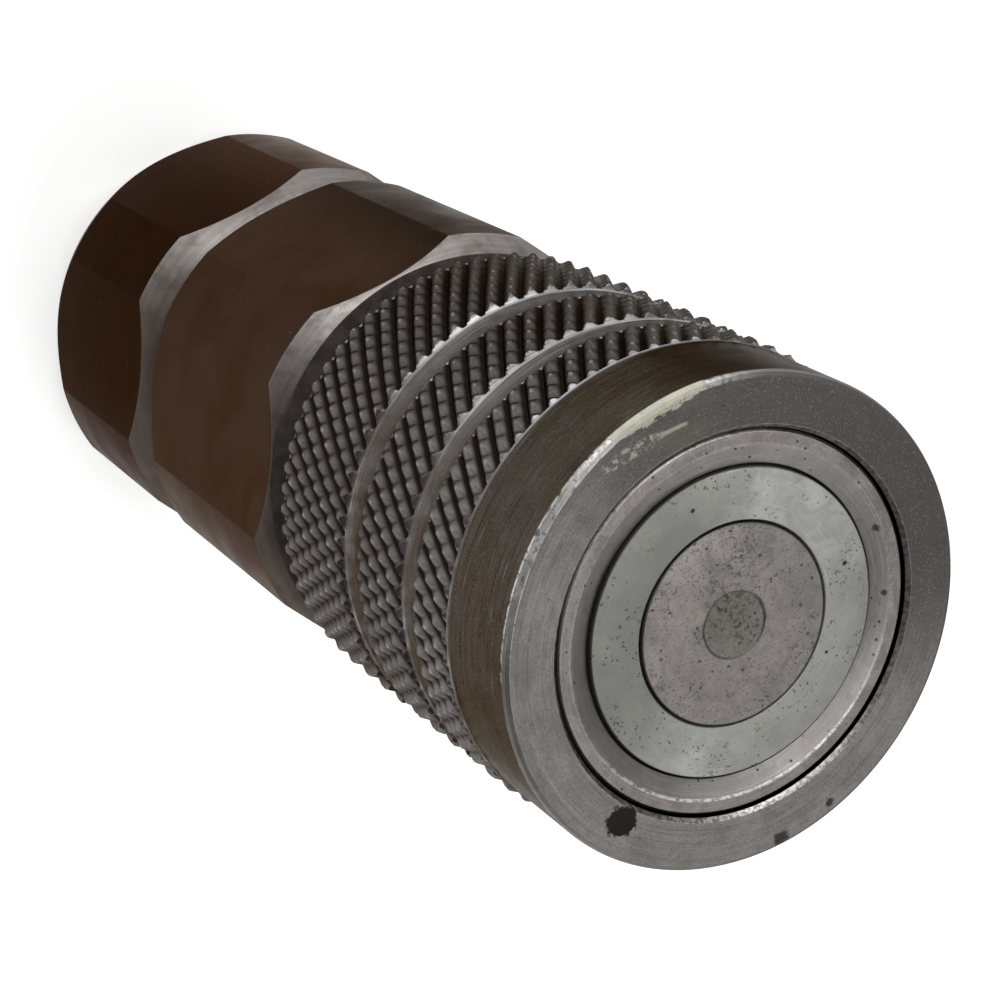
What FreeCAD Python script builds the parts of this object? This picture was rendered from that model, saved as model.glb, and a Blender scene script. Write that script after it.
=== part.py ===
import FreeCAD, Part
import Sketcher
import math
import os

# Flat-face hydraulic quick disconnect coupler, female half.
# The axis is +Z: the rear port face lies at z = 0 and the mating face is on top.

doc = FreeCAD.newDocument("Coupler")
sheet = doc.addObject("Spreadsheet::Sheet", "Dims")

DIMS = [
    # stations along the axis
    ("rear_z", 0.0, "rear port face"),
    ("joint_z", 26.5, "body and adapter meet"),
    ("hex_top_z", 56.7, "front face of the body hex"),
    ("face_z", 99.5, "front face of the body"),
    # hexes
    ("hex_af", 38.0, "across flats"),
    ("hex_turn_r", 20.2, "corners turned to this radius"),
    ("hex_end_r", 17.9, "radius where an end chamfer stops"),
    ("hex_end_len", 3.5, "end chamfer length on the corner"),
    ("rear_end_r", 18.9, "radius of the flat part of the port face"),
    ("hex_top_r", 18.85, "radius of the front hex face"),
    ("hex_top_len", 2.2, "front chamfer length on the corner"),
    # body
    ("nose_r", 14.95, "nose outside radius"),
    ("guide_r", 15.15, "sleeve guide radius"),
    ("guide_z", 90.2, "front of the guide"),
    ("nose_end_z", 90.5, "rear of the nose relief"),
    ("nose_edge", 0.2, "nose edge chamfer"),
    ("collar_r", 17.5, "collar radius"),
    ("collar_top_z", 68.9, "collar front"),
    ("collar_bot_z", 66.5, "collar rear"),
    ("neck_r", 15.9, "neck behind the collar"),
    ("neck_fillet", 0.6, "neck corner"),
    ("bore_r", 12.3, "probe bore radius"),
    ("lead_r", 13.9, "lead-in radius at the face"),
    ("lead_depth", 0.55, "lead-in depth"),
    ("chamber_r", 13.0, "shut-off chamber radius"),
    ("chamber_top_z", 78.05, "front of the chamber"),
    ("socket_r", 15.0, "adapter socket radius"),
    ("socket_top_z", 45.5, "socket bottom"),
    ("socket_lead", 0.6, "socket entry chamfer"),
    ("seal_r", 14.05, "probe seal groove radius"),
    ("seal_top_z", 88.6, "groove front"),
    ("seal_bot_z", 85.6, "groove rear"),
    # balls
    ("ball_d", 4.0, "ball diameter"),
    ("ball_count", 12, "number of balls"),
    ("ball_z", 93.0, "ball plane"),
    ("ball_c", 14.27, "ball centre radius, held out"),
    ("ball_hole_r", 2.05, "ball hole radius"),
    ("ball_lip_r", 1.9, "inner lip radius"),
    ("ball_lip_at", 12.6, "where the lip stops"),
    # locking sleeve
    ("slv_face_z", 99.9, "sleeve front"),
    ("slv_end_z", 60.6, "sleeve rear"),
    ("slv_bore_r", 15.2, "lip and land radius"),
    ("slv_cham_r", 15.75, "bore chamfer radius"),
    ("slv_cham", 0.55, "bore chamfer depth"),
    ("slv_lip_z", 98.4, "rear of the front lip"),
    ("slv_rec_r", 16.6, "ball recess radius"),
    ("slv_rec_z", 92.45, "rear of the recess"),
    ("slv_land_z", 91.05, "front of the locking land"),
    ("slv_land_end_z", 85.0, "rear of the locking land"),
    ("slv_chamber_r", 17.6, "spring chamber radius"),
    ("slv_ring_r", 18.5, "stop ring groove radius"),
    ("slv_ring_top_z", 62.5, "groove front"),
    ("slv_ring_bot_z", 61.4, "groove rear"),
    ("slv_edge_r", 18.85, "face edge radius"),
    ("slv_edge", 0.35, "face edge depth"),
    ("slv_land_r", 19.25, "smooth front land"),
    ("slv_groove_r", 19.2, "groove radius"),
    ("slv_crest_r", 19.95, "knurl crest radius"),
    ("slv_tail_r", 19.35, "rear edge radius"),
    ("slv_tail", 0.6, "rear edge length"),
    ("cove_r", 0.95, "cove radius"),
    ("band_c_foot_z", 91.35, "cove foot of the front band"),
    ("band_c_top_z", 90.6, "front band front"),
    ("band_c_bot_z", 85.8, "front band rear"),
    ("groove_c_top_z", 85.1, "front groove floor, front end"),
    ("groove_c_bot_z", 83.35, "front groove floor, rear end"),
    ("band_b_top_z", 82.6, "middle band front"),
    ("band_b_bot_z", 75.8, "middle band rear"),
    ("groove_b_top_z", 75.1, "rear groove floor, front end"),
    ("groove_b_bot_z", 72.95, "rear groove floor, rear end"),
    ("band_a_top_z", 72.2, "rear band front"),
    # sleeve parts
    ("washer_in_r", 15.25, "washer bore"),
    ("washer_out_r", 17.45, "washer outside"),
    ("washer_thk", 0.8, "washer thickness"),
    ("slv_wire", 1.8, "sleeve spring wire"),
    ("slv_coil_r", 16.35, "sleeve spring mean radius"),
    ("slv_coils", 5.0, "sleeve spring coils"),
    ("ring_in_r", 16.6, "stop ring inside"),
    ("ring_out_r", 18.45, "stop ring outside"),
    ("ring_gap", 9.0, "stop ring gap"),
    ("ring_play", 0.03, "stop ring axial play"),
    # shut-off sleeve
    ("shut_face_z", 99.25, "shut-off face"),
    ("shut_end_z", 75.25, "shut-off rear"),
    ("shut_r", 12.25, "shut-off outside radius"),
    ("shut_relief_r", 12.1, "front relief radius"),
    ("shut_relief", 0.75, "front relief length"),
    ("shut_flange_r", 12.93, "flange radius"),
    ("shut_flange_z", 78.0, "flange front"),
    ("shut_bore_r", 7.95, "seat bore radius"),
    ("shut_mouth_r", 8.12, "mouth radius"),
    ("shut_mouth", 0.4, "mouth depth"),
    ("shut_seat_z", 92.0, "rear of the seat"),
    ("shut_cone_z", 90.0, "rear of the seat cone"),
    ("shut_flow_r", 9.2, "flow bore radius"),
    ("shut_seat_in_r", 10.4, "spring seat inside"),
    ("shut_seat_out_r", 12.95, "spring seat outside"),
    ("shut_seat_thk", 0.8, "spring seat thickness"),
    ("shut_wire", 1.6, "shut-off spring wire"),
    ("shut_coil_r", 11.5, "shut-off spring mean radius"),
    ("shut_coils", 9.0, "shut-off spring coils"),
    # stem
    ("stem_face_z", 99.36, "stem face"),
    ("stem_r", 7.9, "stem head radius"),
    ("stem_edge", 0.12, "stem edge chamfer"),
    ("mark_r", 2.75, "centre mark radius"),
    ("mark_depth", 0.12, "centre mark depth"),
    ("stem_groove_r", 6.3, "stem seal groove radius"),
    ("stem_groove_top_z", 96.4, "groove front"),
    ("stem_groove_bot_z", 94.6, "groove rear"),
    ("stem_head_z", 93.3, "rear of the head"),
    ("stem_cone_z", 90.5, "rear of the head cone"),
    ("stem_neck_r", 4.5, "neck radius"),
    ("stem_neck_z", 50.2, "rear of the neck"),
    ("stem_shoulder_r", 5.3, "shoulder radius"),
    ("stem_shoulder_z", 49.4, "front of the shoulder"),
    ("stem_spigot_r", 3.0, "spigot radius"),
    ("stem_end_z", 33.2, "spigot end"),
    ("stem_end_cham", 0.5, "spigot end chamfer"),
    # holder
    ("holder_bot_z", 39.5, "holder rear face"),
    ("holder_r", 14.95, "holder radius"),
    ("holder_hub_r", 3.05, "holder hub bore"),
    ("holder_cham", 0.5, "holder edge chamfer"),
    ("holder_holes", 6, "flow holes"),
    ("holder_hole_r", 2.6, "flow hole radius"),
    ("holder_pitch_r", 8.3, "flow hole pitch radius"),
    ("lock_thk", 1.0, "lock washer thickness"),
    ("lock_r", 5.2, "lock washer radius"),
    ("nut_af", 10.0, "nut across flats"),
    ("nut_r", 5.6, "nut corner radius"),
    ("nut_thk", 4.6, "nut thickness"),
    ("nut_cham", 0.6, "nut chamfer"),
    # adapter
    ("spigot_r", 14.98, "adapter spigot radius"),
    ("spigot_cham", 0.6, "spigot end chamfer"),
    ("spigot_bore_r", 11.8, "spigot bore radius"),
    ("spigot_floor_z", 32.0, "spigot bore floor"),
    ("flow_r", 7.5, "flow bore radius"),
    ("flow_top_z", 27.7, "flow bore front"),
    ("joint_seal_r", 13.2, "joint seal groove radius"),
    ("joint_seal_top_z", 30.6, "groove front"),
    ("joint_seal_bot_z", 27.6, "groove rear"),
    ("relief_r", 10.7, "thread relief radius"),
    ("relief_top_z", 18.5, "relief front"),
    ("port_end_z", 16.0, "end of the thread"),
    ("port_r", 9.32, "port thread minor radius"),
    ("port_lead_r", 10.9, "port countersink radius"),
    ("port_lead", 1.6, "port countersink depth"),
    # seals
    ("probe_ring_c", 13.15, "probe ring mean radius"),
    ("probe_ring_w", 0.87, "probe ring section radius"),
    ("probe_ring_z", 87.7, "probe ring plane"),
    ("probe_back_in", 12.28, "back-up ring inside"),
    ("probe_back_out", 14.03, "back-up ring outside"),
    ("probe_back_top_z", 86.75, "back-up ring front"),
    ("probe_back_bot_z", 85.65, "back-up ring rear"),
    ("stem_ring_c", 7.08, "stem ring mean radius"),
    ("stem_ring_w", 0.78, "stem ring section radius"),
    ("stem_ring_z", 95.5, "stem ring plane"),
    ("joint_ring_c", 14.09, "joint ring mean radius"),
    ("joint_ring_w", 0.87, "joint ring section radius"),
    ("joint_ring_z", 29.65, "joint ring plane"),
    ("joint_back_in", 13.22, "joint back-up inside"),
    ("joint_back_out", 14.96, "joint back-up outside"),
    ("joint_back_top_z", 28.7, "joint back-up front"),
    ("joint_back_bot_z", 27.65, "joint back-up rear"),
]
VALUE = {}
for row, (alias, number, note) in enumerate(DIMS, start=1):
    sheet.set("A%d" % row, note)
    sheet.set("B%d" % row, repr(float(number)))
    sheet.setAlias("B%d" % row, alias)
    VALUE[alias] = float(number)
doc.recompute()


def terms(text):
    # "a + b - c" into signed names or plain numbers
    out, sign = [], 1.0
    for word in text.split():
        if word == "+":
            sign = 1.0
        elif word == "-":
            sign = -1.0
        else:
            out.append((sign, word))
            sign = 1.0
    return out


def number(text):
    total = 0.0
    for sign, word in terms(text):
        total += sign * (VALUE[word] if word in VALUE else float(word))
    return total


def formula(text):
    parts = []
    for sign, word in terms(text):
        name = "Dims." + word if word in VALUE else word
        parts.append(("-" if sign < 0 else "+") + " " + name)
    line = " ".join(parts)
    return line[2:] if line.startswith("+ ") else line


def origin_item(body, role):
    for item in body.Origin.OriginFeatures:
        if item.Role == role:
            return item
    raise RuntimeError("origin has no " + role)


def new_body(label):
    body = doc.addObject("PartDesign::Body", label)
    body.Label = label
    return body


def dimension(sk, geo, pos, x_text, y_text):
    for text, kind, axis in ((x_text, "DistanceX", -2), (y_text, "DistanceY", -1)):
        value = number(text)
        if abs(value) < 1e-9:
            sk.addConstraint(Sketcher.Constraint("PointOnObject", geo, pos, axis))
        else:
            index = sk.addConstraint(Sketcher.Constraint(kind, -1, 1, geo, pos, value))
            sk.setExpression("Constraints[%d]" % index, formula(text))


def profile(body, name, points, arcs=None):
    # closed outline in the XZ plane; arcs maps an edge number to (radius cell, side)
    arcs = arcs or {}
    sk = body.newObject("Sketcher::SketchObject", name)
    sk.AttachmentSupport = [(origin_item(body, "XZ_Plane"), "")]
    sk.MapMode = "FlatFace"
    count = len(points)
    xy = [(number(a), number(b)) for a, b in points]
    ends = []
    for i in range(count):
        p, q = xy[i], xy[(i + 1) % count]
        if i in arcs:
            cell, side = arcs[i]
            radius = VALUE[cell]
            mx, my = (p[0] + q[0]) / 2.0, (p[1] + q[1]) / 2.0
            dx, dy = q[0] - p[0], q[1] - p[1]
            chord = math.hypot(dx, dy)
            rise = math.sqrt(radius * radius - chord * chord / 4.0)
            cx, cy = mx - side * dy / chord * rise, my + side * dx / chord * rise
            a0 = math.atan2(p[1] - cy, p[0] - cx)
            a1 = math.atan2(q[1] - cy, q[0] - cx)
            turn = (a1 - a0) % (2 * math.pi)
            circle = Part.Circle(FreeCAD.Vector(cx, cy, 0), FreeCAD.Vector(0, 0, 1), radius)
            if turn < math.pi:
                sk.addGeometry(Part.ArcOfCircle(circle, a0, a0 + turn), False)
                ends.append((1, 2))
            else:
                sk.addGeometry(Part.ArcOfCircle(circle, a1, a1 + (2 * math.pi - turn)), False)
                ends.append((2, 1))
        else:
            sk.addGeometry(Part.LineSegment(FreeCAD.Vector(p[0], p[1], 0), FreeCAD.Vector(q[0], q[1], 0)), False)
            ends.append((1, 2))
    for i in range(count):
        j = (i + 1) % count
        sk.addConstraint(Sketcher.Constraint("Coincident", i, ends[i][1], j, ends[j][0]))
    for i in range(count):
        dimension(sk, i, ends[i][0], points[i][0], points[i][1])
    for i, (cell, side) in arcs.items():
        index = sk.addConstraint(Sketcher.Constraint("Radius", i, VALUE[cell]))
        sk.setExpression("Constraints[%d]" % index, "Dims." + cell)
    return sk


def revolved(label, points, arcs=None):
    body = new_body(label)
    sk = profile(body, label + "_profile", points, arcs)
    rev = body.newObject("PartDesign::Revolution", label + "_turned")
    rev.Profile = sk
    rev.ReferenceAxis = (sk, ["V_Axis"])
    rev.Angle = 360.0
    doc.recompute()
    return body


def cut_checked(body, before, what):
    doc.recompute()
    after = body.Shape.Volume
    if not after < before - 0.01:
        raise RuntimeError("%s cut nothing (%.3f -> %.3f)" % (what, before, after))


def hex_flats(body, af_cell, outside):
    # ring between a hexagon and a circle, cut away along +Z
    before = body.Shape.Volume
    sk = body.newObject("Sketcher::SketchObject", body.Label + "_hex")
    sk.AttachmentSupport = [(origin_item(body, "XY_Plane"), "")]
    sk.MapMode = "FlatFace"
    corner = VALUE[af_cell] / 2.0 / math.cos(math.radians(30.0))
    pts = [FreeCAD.Vector(corner * math.cos(math.radians(60 * k)), corner * math.sin(math.radians(60 * k)), 0) for k in range(6)]
    for k in range(6):
        sk.addGeometry(Part.LineSegment(pts[k], pts[(k + 1) % 6]), False)
    ring = sk.addGeometry(Part.Circle(FreeCAD.Vector(0, 0, 0), FreeCAD.Vector(0, 0, 1), corner), True)
    outer = sk.addGeometry(Part.Circle(FreeCAD.Vector(0, 0, 0), FreeCAD.Vector(0, 0, 1), outside), False)
    for k in range(6):
        sk.addConstraint(Sketcher.Constraint("Coincident", k, 2, (k + 1) % 6, 1))
    sk.addConstraint(Sketcher.Constraint("Coincident", ring, 3, -1, 1))
    sk.addConstraint(Sketcher.Constraint("Coincident", outer, 3, -1, 1))
    for k in range(6):
        sk.addConstraint(Sketcher.Constraint("PointOnObject", k, 1, ring))
    for k in range(1, 6):
        sk.addConstraint(Sketcher.Constraint("Equal", 0, k))
    sk.addConstraint(Sketcher.Constraint("PointOnObject", 0, 1, -1))
    index = sk.addConstraint(Sketcher.Constraint("Radius", ring, corner))
    sk.setExpression("Constraints[%d]" % index, "Dims.%s / 2 / cos(30 deg)" % af_cell)
    sk.addConstraint(Sketcher.Constraint("Radius", outer, outside))
    pocket = body.newObject("PartDesign::Pocket", body.Label + "_flats")
    pocket.Profile = sk
    pocket.Type = "ThroughAll"
    pocket.Reversed = True
    cut_checked(body, before, body.Label + " flats")


def circle_sketch(body, name, role, x_text, y_text, radius_cell, lift_text=None):
    sk = body.newObject("Sketcher::SketchObject", name)
    sk.AttachmentSupport = [(origin_item(body, role), "")]
    sk.MapMode = "FlatFace"
    if lift_text:
        sk.AttachmentOffset = FreeCAD.Placement(FreeCAD.Vector(0, 0, number(lift_text)), FreeCAD.Rotation())
        sk.setExpression("AttachmentOffset.Base.z", formula(lift_text))
    geo = sk.addGeometry(Part.Circle(FreeCAD.Vector(number(x_text), number(y_text), 0), FreeCAD.Vector(0, 0, 1), VALUE[radius_cell]), False)
    dimension(sk, geo, 3, x_text, y_text)
    index = sk.addConstraint(Sketcher.Constraint("Radius", geo, VALUE[radius_cell]))
    sk.setExpression("Constraints[%d]" % index, "Dims." + radius_cell)
    return sk


def polar(body, name, originals, count_cell):
    pattern = body.newObject("PartDesign::PolarPattern", name)
    pattern.Originals = originals
    pattern.Axis = (origin_item(body, "Z_Axis"), [""])
    pattern.Angle = 360.0
    pattern.Occurrences = int(VALUE[count_cell])
    pattern.setExpression("Occurrences", "Dims." + count_cell)
    body.Tip = pattern
    return pattern


def spring_shape(mean_r, wire, low, high, coils):
    # closed and ground ends: one dead coil at each end, even pitch between
    wire_r = wire / 2.0
    start = low + 0.35 * wire_r
    stop = high - 0.35 * wire_r
    dead = 1.04 * wire
    live = (stop - start - 2.0 * dead) / (coils - 2.0)
    steps = 20
    points = []
    for i in range(int(round(coils * steps)) + 1):
        n = i / float(steps)
        if n <= 1.0:
            z = start + dead * n
        elif n <= coils - 1.0:
            z = start + dead + live * (n - 1.0)
        else:
            z = stop - dead * (coils - n)
        # round the two changes of pitch
        for knee, sense in ((1.0, 1.0), (coils - 1.0, -1.0)):
            d = abs(n - knee)
            if d < 0.25:
                z += sense * (live - dead) * (0.25 - d) ** 2 / (4 * 0.25)
        a = 2.0 * math.pi * n
        points.append(FreeCAD.Vector(mean_r * math.cos(a), mean_r * math.sin(a), z))
    curve = Part.BSplineCurve()
    curve.interpolate(points)
    path = Part.Wire([curve.toShape()])
    tangent = curve.tangent(curve.FirstParameter)[0]
    section = Part.Wire([Part.makeCircle(wire_r, points[0], tangent)])
    coil = path.makePipeShell([section], True, True)
    slab = Part.makeCylinder(mean_r + wire, high - low, FreeCAD.Vector(0, 0, low))
    ground = coil.common(slab)
    return ground.Solids[0] if len(ground.Solids) == 1 else ground


parts = []

# body with the hex, the spring collar and the ball nose
body = revolved("front_body", [
    ("socket_r + socket_lead", "joint_z"), ("hex_end_r", "joint_z"),
    ("hex_turn_r", "joint_z + hex_end_len"), ("hex_turn_r", "hex_top_z - hex_top_len"),
    ("hex_top_r", "hex_top_z"), ("neck_r + neck_fillet", "hex_top_z"),
    ("neck_r", "hex_top_z + neck_fillet"), ("neck_r", "collar_bot_z"),
    ("collar_r", "collar_bot_z"), ("collar_r", "collar_top_z"),
    ("guide_r", "collar_top_z"), ("guide_r", "guide_z"),
    ("nose_r", "nose_end_z"), ("nose_r", "face_z - nose_edge"),
    ("nose_r - nose_edge", "face_z"), ("lead_r", "face_z"),
    ("bore_r", "face_z - lead_depth"), ("bore_r", "seal_top_z"),
    ("seal_r", "seal_top_z"), ("seal_r", "seal_bot_z"),
    ("bore_r", "seal_bot_z"), ("bore_r", "chamber_top_z"),
    ("chamber_r", "chamber_top_z"), ("chamber_r", "socket_top_z"),
    ("socket_r", "socket_top_z"), ("socket_r", "joint_z + socket_lead"),
], {5: ("neck_fillet", 1)})
hex_flats(body, "hex_af", 30.0)
before = body.Shape.Volume
outer_sketch = circle_sketch(body, "ball_hole_outer", "YZ_Plane", "0", "ball_z", "ball_hole_r", "ball_lip_at")
outer_hole = body.newObject("PartDesign::Pocket", "ball_hole")
outer_hole.Profile = outer_sketch
outer_hole.Length = 6.0
outer_hole.Reversed = True
cut_checked(body, before, "ball hole")
before = body.Shape.Volume
inner_sketch = circle_sketch(body, "ball_hole_inner", "YZ_Plane", "0", "ball_z", "ball_lip_r", None)
inner_hole = body.newObject("PartDesign::Pocket", "ball_lip")
inner_hole.Profile = inner_sketch
inner_hole.Length = 14.0
inner_hole.Reversed = True
cut_checked(body, before, "ball lip")
before = body.Shape.Volume
polar(body, "ball_holes", [outer_hole, inner_hole], "ball_count")
cut_checked(body, before, "ball hole pattern")
parts.append(body)

# adapter with the rear port
body = revolved("port_adapter", [
    ("port_lead_r", "rear_z"), ("rear_end_r", "rear_z"),
    ("hex_turn_r", "rear_z + hex_end_len"), ("hex_turn_r", "joint_z - hex_end_len"),
    ("hex_end_r", "joint_z"), ("spigot_r", "joint_z"),
    ("spigot_r", "joint_seal_bot_z"), ("joint_seal_r", "joint_seal_bot_z"),
    ("joint_seal_r", "joint_seal_top_z"), ("spigot_r", "joint_seal_top_z"),
    ("spigot_r", "holder_bot_z - spigot_cham"), ("spigot_r - spigot_cham", "holder_bot_z"),
    ("spigot_bore_r", "holder_bot_z"), ("spigot_bore_r", "spigot_floor_z"),
    ("flow_r", "flow_top_z"), ("flow_r", "relief_top_z"),
    ("relief_r", "relief_top_z"), ("relief_r", "port_end_z"),
    ("port_r", "port_end_z"), ("port_r", "rear_z + port_lead"),
])
hex_flats(body, "hex_af", 30.0)
parts.append(body)

# locking sleeve: three raised bands on a plain shell, coved grooves between
body = revolved("locking_sleeve", [
    ("slv_cham_r", "slv_face_z"), ("slv_edge_r", "slv_face_z"),
    ("slv_land_r", "slv_face_z - slv_edge"), ("slv_land_r", "band_c_foot_z"),
    ("slv_crest_r", "band_c_top_z"), ("slv_crest_r", "band_c_bot_z"),
    ("slv_groove_r", "groove_c_top_z"), ("slv_groove_r", "groove_c_bot_z"),
    ("slv_crest_r", "band_b_top_z"), ("slv_crest_r", "band_b_bot_z"),
    ("slv_groove_r", "groove_b_top_z"), ("slv_groove_r", "groove_b_bot_z"),
    ("slv_crest_r", "band_a_top_z"), ("slv_crest_r", "slv_end_z + slv_tail"),
    ("slv_tail_r", "slv_end_z"), ("slv_chamber_r", "slv_end_z"),
    ("slv_chamber_r", "slv_ring_bot_z"), ("slv_ring_r", "slv_ring_bot_z"),
    ("slv_ring_r", "slv_ring_top_z"), ("slv_chamber_r", "slv_ring_top_z"),
    ("slv_chamber_r", "slv_land_end_z"), ("slv_bore_r", "slv_land_end_z"),
    ("slv_bore_r", "slv_land_z"), ("slv_rec_r", "slv_rec_z"),
    ("slv_rec_r", "slv_lip_z"), ("slv_bore_r", "slv_lip_z"),
    ("slv_bore_r", "slv_face_z - slv_cham"),
], {3: ("cove_r", 1), 5: ("cove_r", 1), 7: ("cove_r", 1), 9: ("cove_r", 1), 11: ("cove_r", 1)})
parts.append(body)

# ring in the sleeve that stops it against the back of the collar
body = revolved("sleeve_stop_ring", [
    ("ring_in_r", "slv_ring_bot_z + ring_play"), ("ring_out_r", "slv_ring_bot_z + ring_play"),
    ("ring_out_r", "slv_ring_top_z - ring_play"), ("ring_in_r", "slv_ring_top_z - ring_play"),
])
before = body.Shape.Volume
sk = body.newObject("Sketcher::SketchObject", "ring_gap_sketch")
sk.AttachmentSupport = [(origin_item(body, "XY_Plane"), "")]
sk.MapMode = "FlatFace"
half = VALUE["ring_gap"] / 2.0
corners = [(10.0, -half), (22.0, -half), (22.0, half), (10.0, half)]
for k in range(4):
    a, b = corners[k], corners[(k + 1) % 4]
    sk.addGeometry(Part.LineSegment(FreeCAD.Vector(a[0], a[1], 0), FreeCAD.Vector(b[0], b[1], 0)), False)
for k in range(4):
    sk.addConstraint(Sketcher.Constraint("Coincident", k, 2, (k + 1) % 4, 1))
sk.addConstraint(Sketcher.Constraint("Horizontal", 0))
sk.addConstraint(Sketcher.Constraint("Horizontal", 2))
sk.addConstraint(Sketcher.Constraint("Vertical", 1))
sk.addConstraint(Sketcher.Constraint("Symmetric", 3, 1, 3, 2, -1))
sk.addConstraint(Sketcher.Constraint("DistanceX", -1, 1, 0, 1, 10.0))
sk.addConstraint(Sketcher.Constraint("DistanceX", -1, 1, 0, 2, 22.0))
index = sk.addConstraint(Sketcher.Constraint("DistanceY", 0, 1, 3, 1, VALUE["ring_gap"]))
sk.setExpression("Constraints[%d]" % index, "Dims.ring_gap")
pocket = body.newObject("PartDesign::Pocket", "ring_gap_cut")
pocket.Profile = sk
pocket.Type = "ThroughAll"
pocket.Reversed = True
cut_checked(body, before, "ring gap")
parts.append(body)

# washers at the two ends of the sleeve spring
parts.append(revolved("sleeve_thrust_washer", [
    ("washer_in_r", "slv_land_end_z - washer_thk"), ("washer_out_r", "slv_land_end_z - washer_thk"),
    ("washer_out_r", "slv_land_end_z"), ("washer_in_r", "slv_land_end_z"),
]))
parts.append(revolved("sleeve_spring_seat", [
    ("washer_in_r", "collar_top_z"), ("washer_out_r", "collar_top_z"),
    ("washer_out_r", "collar_top_z + washer_thk"), ("washer_in_r", "collar_top_z + washer_thk"),
]))

parts.append(revolved("shutoff_spring_seat", [
    ("shut_seat_in_r", "socket_top_z"), ("shut_seat_out_r", "socket_top_z"),
    ("shut_seat_out_r", "socket_top_z + shut_seat_thk"), ("shut_seat_in_r", "socket_top_z + shut_seat_thk"),
]))

# springs
spring = doc.addObject("Part::Feature", "sleeve_spring")
spring.Label = "sleeve_spring"
spring.Shape = spring_shape(sheet.slv_coil_r, sheet.slv_wire, sheet.collar_top_z + sheet.washer_thk,
                            sheet.slv_land_end_z - sheet.washer_thk, sheet.slv_coils)
parts.append(spring)
spring = doc.addObject("Part::Feature", "shutoff_spring")
spring.Label = "shutoff_spring"
spring.Shape = spring_shape(sheet.shut_coil_r, sheet.shut_wire, sheet.socket_top_z + sheet.shut_seat_thk,
                            sheet.shut_end_z, sheet.shut_coils)
parts.append(spring)

# locking balls
balls = []
for k in range(int(VALUE["ball_count"])):
    ball = doc.addObject("Part::Sphere", "ball_%02d" % (k + 1))
    ball.setExpression("Radius", "Dims.ball_d / 2")
    angle = 360.0 * k / VALUE["ball_count"]
    ball.Placement = FreeCAD.Placement(
        FreeCAD.Vector(VALUE["ball_c"] * math.cos(math.radians(angle)), VALUE["ball_c"] * math.sin(math.radians(angle)), VALUE["ball_z"]),
        FreeCAD.Rotation())
    ball.setExpression("Placement.Base.x", "Dims.ball_c * cos(%g deg)" % angle)
    ball.setExpression("Placement.Base.y", "Dims.ball_c * sin(%g deg)" % angle)
    ball.setExpression("Placement.Base.z", "Dims.ball_z")
    balls.append(ball)
group = doc.addObject("Part::Compound", "locking_balls")
group.Label = "locking_balls"
group.Links = balls
parts.append(group)

# shut-off sleeve
parts.append(revolved("shutoff_sleeve", [
    ("shut_mouth_r", "shut_face_z"), ("shut_relief_r", "shut_face_z"),
    ("shut_relief_r", "shut_face_z - shut_relief"), ("shut_r", "shut_face_z - shut_relief - 0.25"),
    ("shut_r", "shut_flange_z"), ("shut_flange_r", "shut_flange_z"),
    ("shut_flange_r", "shut_end_z"), ("shut_flow_r", "shut_end_z"),
    ("shut_flow_r", "shut_cone_z"), ("shut_bore_r", "shut_seat_z"),
    ("shut_bore_r", "shut_face_z - shut_mouth"),
]))

# stem with its head, seal groove, shoulder and spigot
parts.append(revolved("valve_stem", [
    ("0", "stem_face_z - mark_depth"), ("mark_r", "stem_face_z - mark_depth"),
    ("mark_r", "stem_face_z"), ("stem_r - stem_edge", "stem_face_z"),
    ("stem_r", "stem_face_z - stem_edge"), ("stem_r", "stem_groove_top_z"),
    ("stem_groove_r", "stem_groove_top_z"), ("stem_groove_r", "stem_groove_bot_z"),
    ("stem_r", "stem_groove_bot_z"), ("stem_r", "stem_head_z"),
    ("stem_neck_r", "stem_cone_z"), ("stem_neck_r", "stem_neck_z"),
    ("stem_shoulder_r", "stem_shoulder_z"), ("stem_shoulder_r", "socket_top_z"),
    ("stem_spigot_r", "socket_top_z"), ("stem_spigot_r", "stem_end_z + stem_end_cham"),
    ("stem_spigot_r - stem_end_cham", "stem_end_z"), ("0", "stem_end_z"),
]))

# holder that carries the stem, with flow holes
body = revolved("stem_holder", [
    ("holder_hub_r", "holder_bot_z"), ("holder_r - holder_cham", "holder_bot_z"),
    ("holder_r", "holder_bot_z + holder_cham"), ("holder_r", "socket_top_z - holder_cham"),
    ("holder_r - holder_cham", "socket_top_z"), ("holder_hub_r", "socket_top_z"),
])
before = body.Shape.Volume
sk = circle_sketch(body, "flow_hole_sketch", "XY_Plane", "holder_pitch_r", "0", "holder_hole_r", None)
hole = body.newObject("PartDesign::Pocket", "flow_hole")
hole.Profile = sk
hole.Type = "ThroughAll"
hole.Reversed = True
cut_checked(body, before, "flow hole")
before = body.Shape.Volume
polar(body, "flow_holes", [hole], "holder_holes")
cut_checked(body, before, "flow hole pattern")
parts.append(body)

parts.append(revolved("stem_lock_washer", [
    ("holder_hub_r", "holder_bot_z - lock_thk"), ("lock_r", "holder_bot_z - lock_thk"),
    ("lock_r", "holder_bot_z"), ("holder_hub_r", "holder_bot_z"),
]))
body = revolved("stem_nut", [
    ("holder_hub_r", "holder_bot_z - lock_thk - nut_thk"), ("nut_r - nut_cham", "holder_bot_z - lock_thk - nut_thk"),
    ("nut_r", "holder_bot_z - lock_thk - nut_thk + nut_cham"), ("nut_r", "holder_bot_z - lock_thk - nut_cham"),
    ("nut_r - nut_cham", "holder_bot_z - lock_thk"), ("holder_hub_r", "holder_bot_z - lock_thk"),
])
hex_flats(body, "nut_af", 12.0)
parts.append(body)

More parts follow.
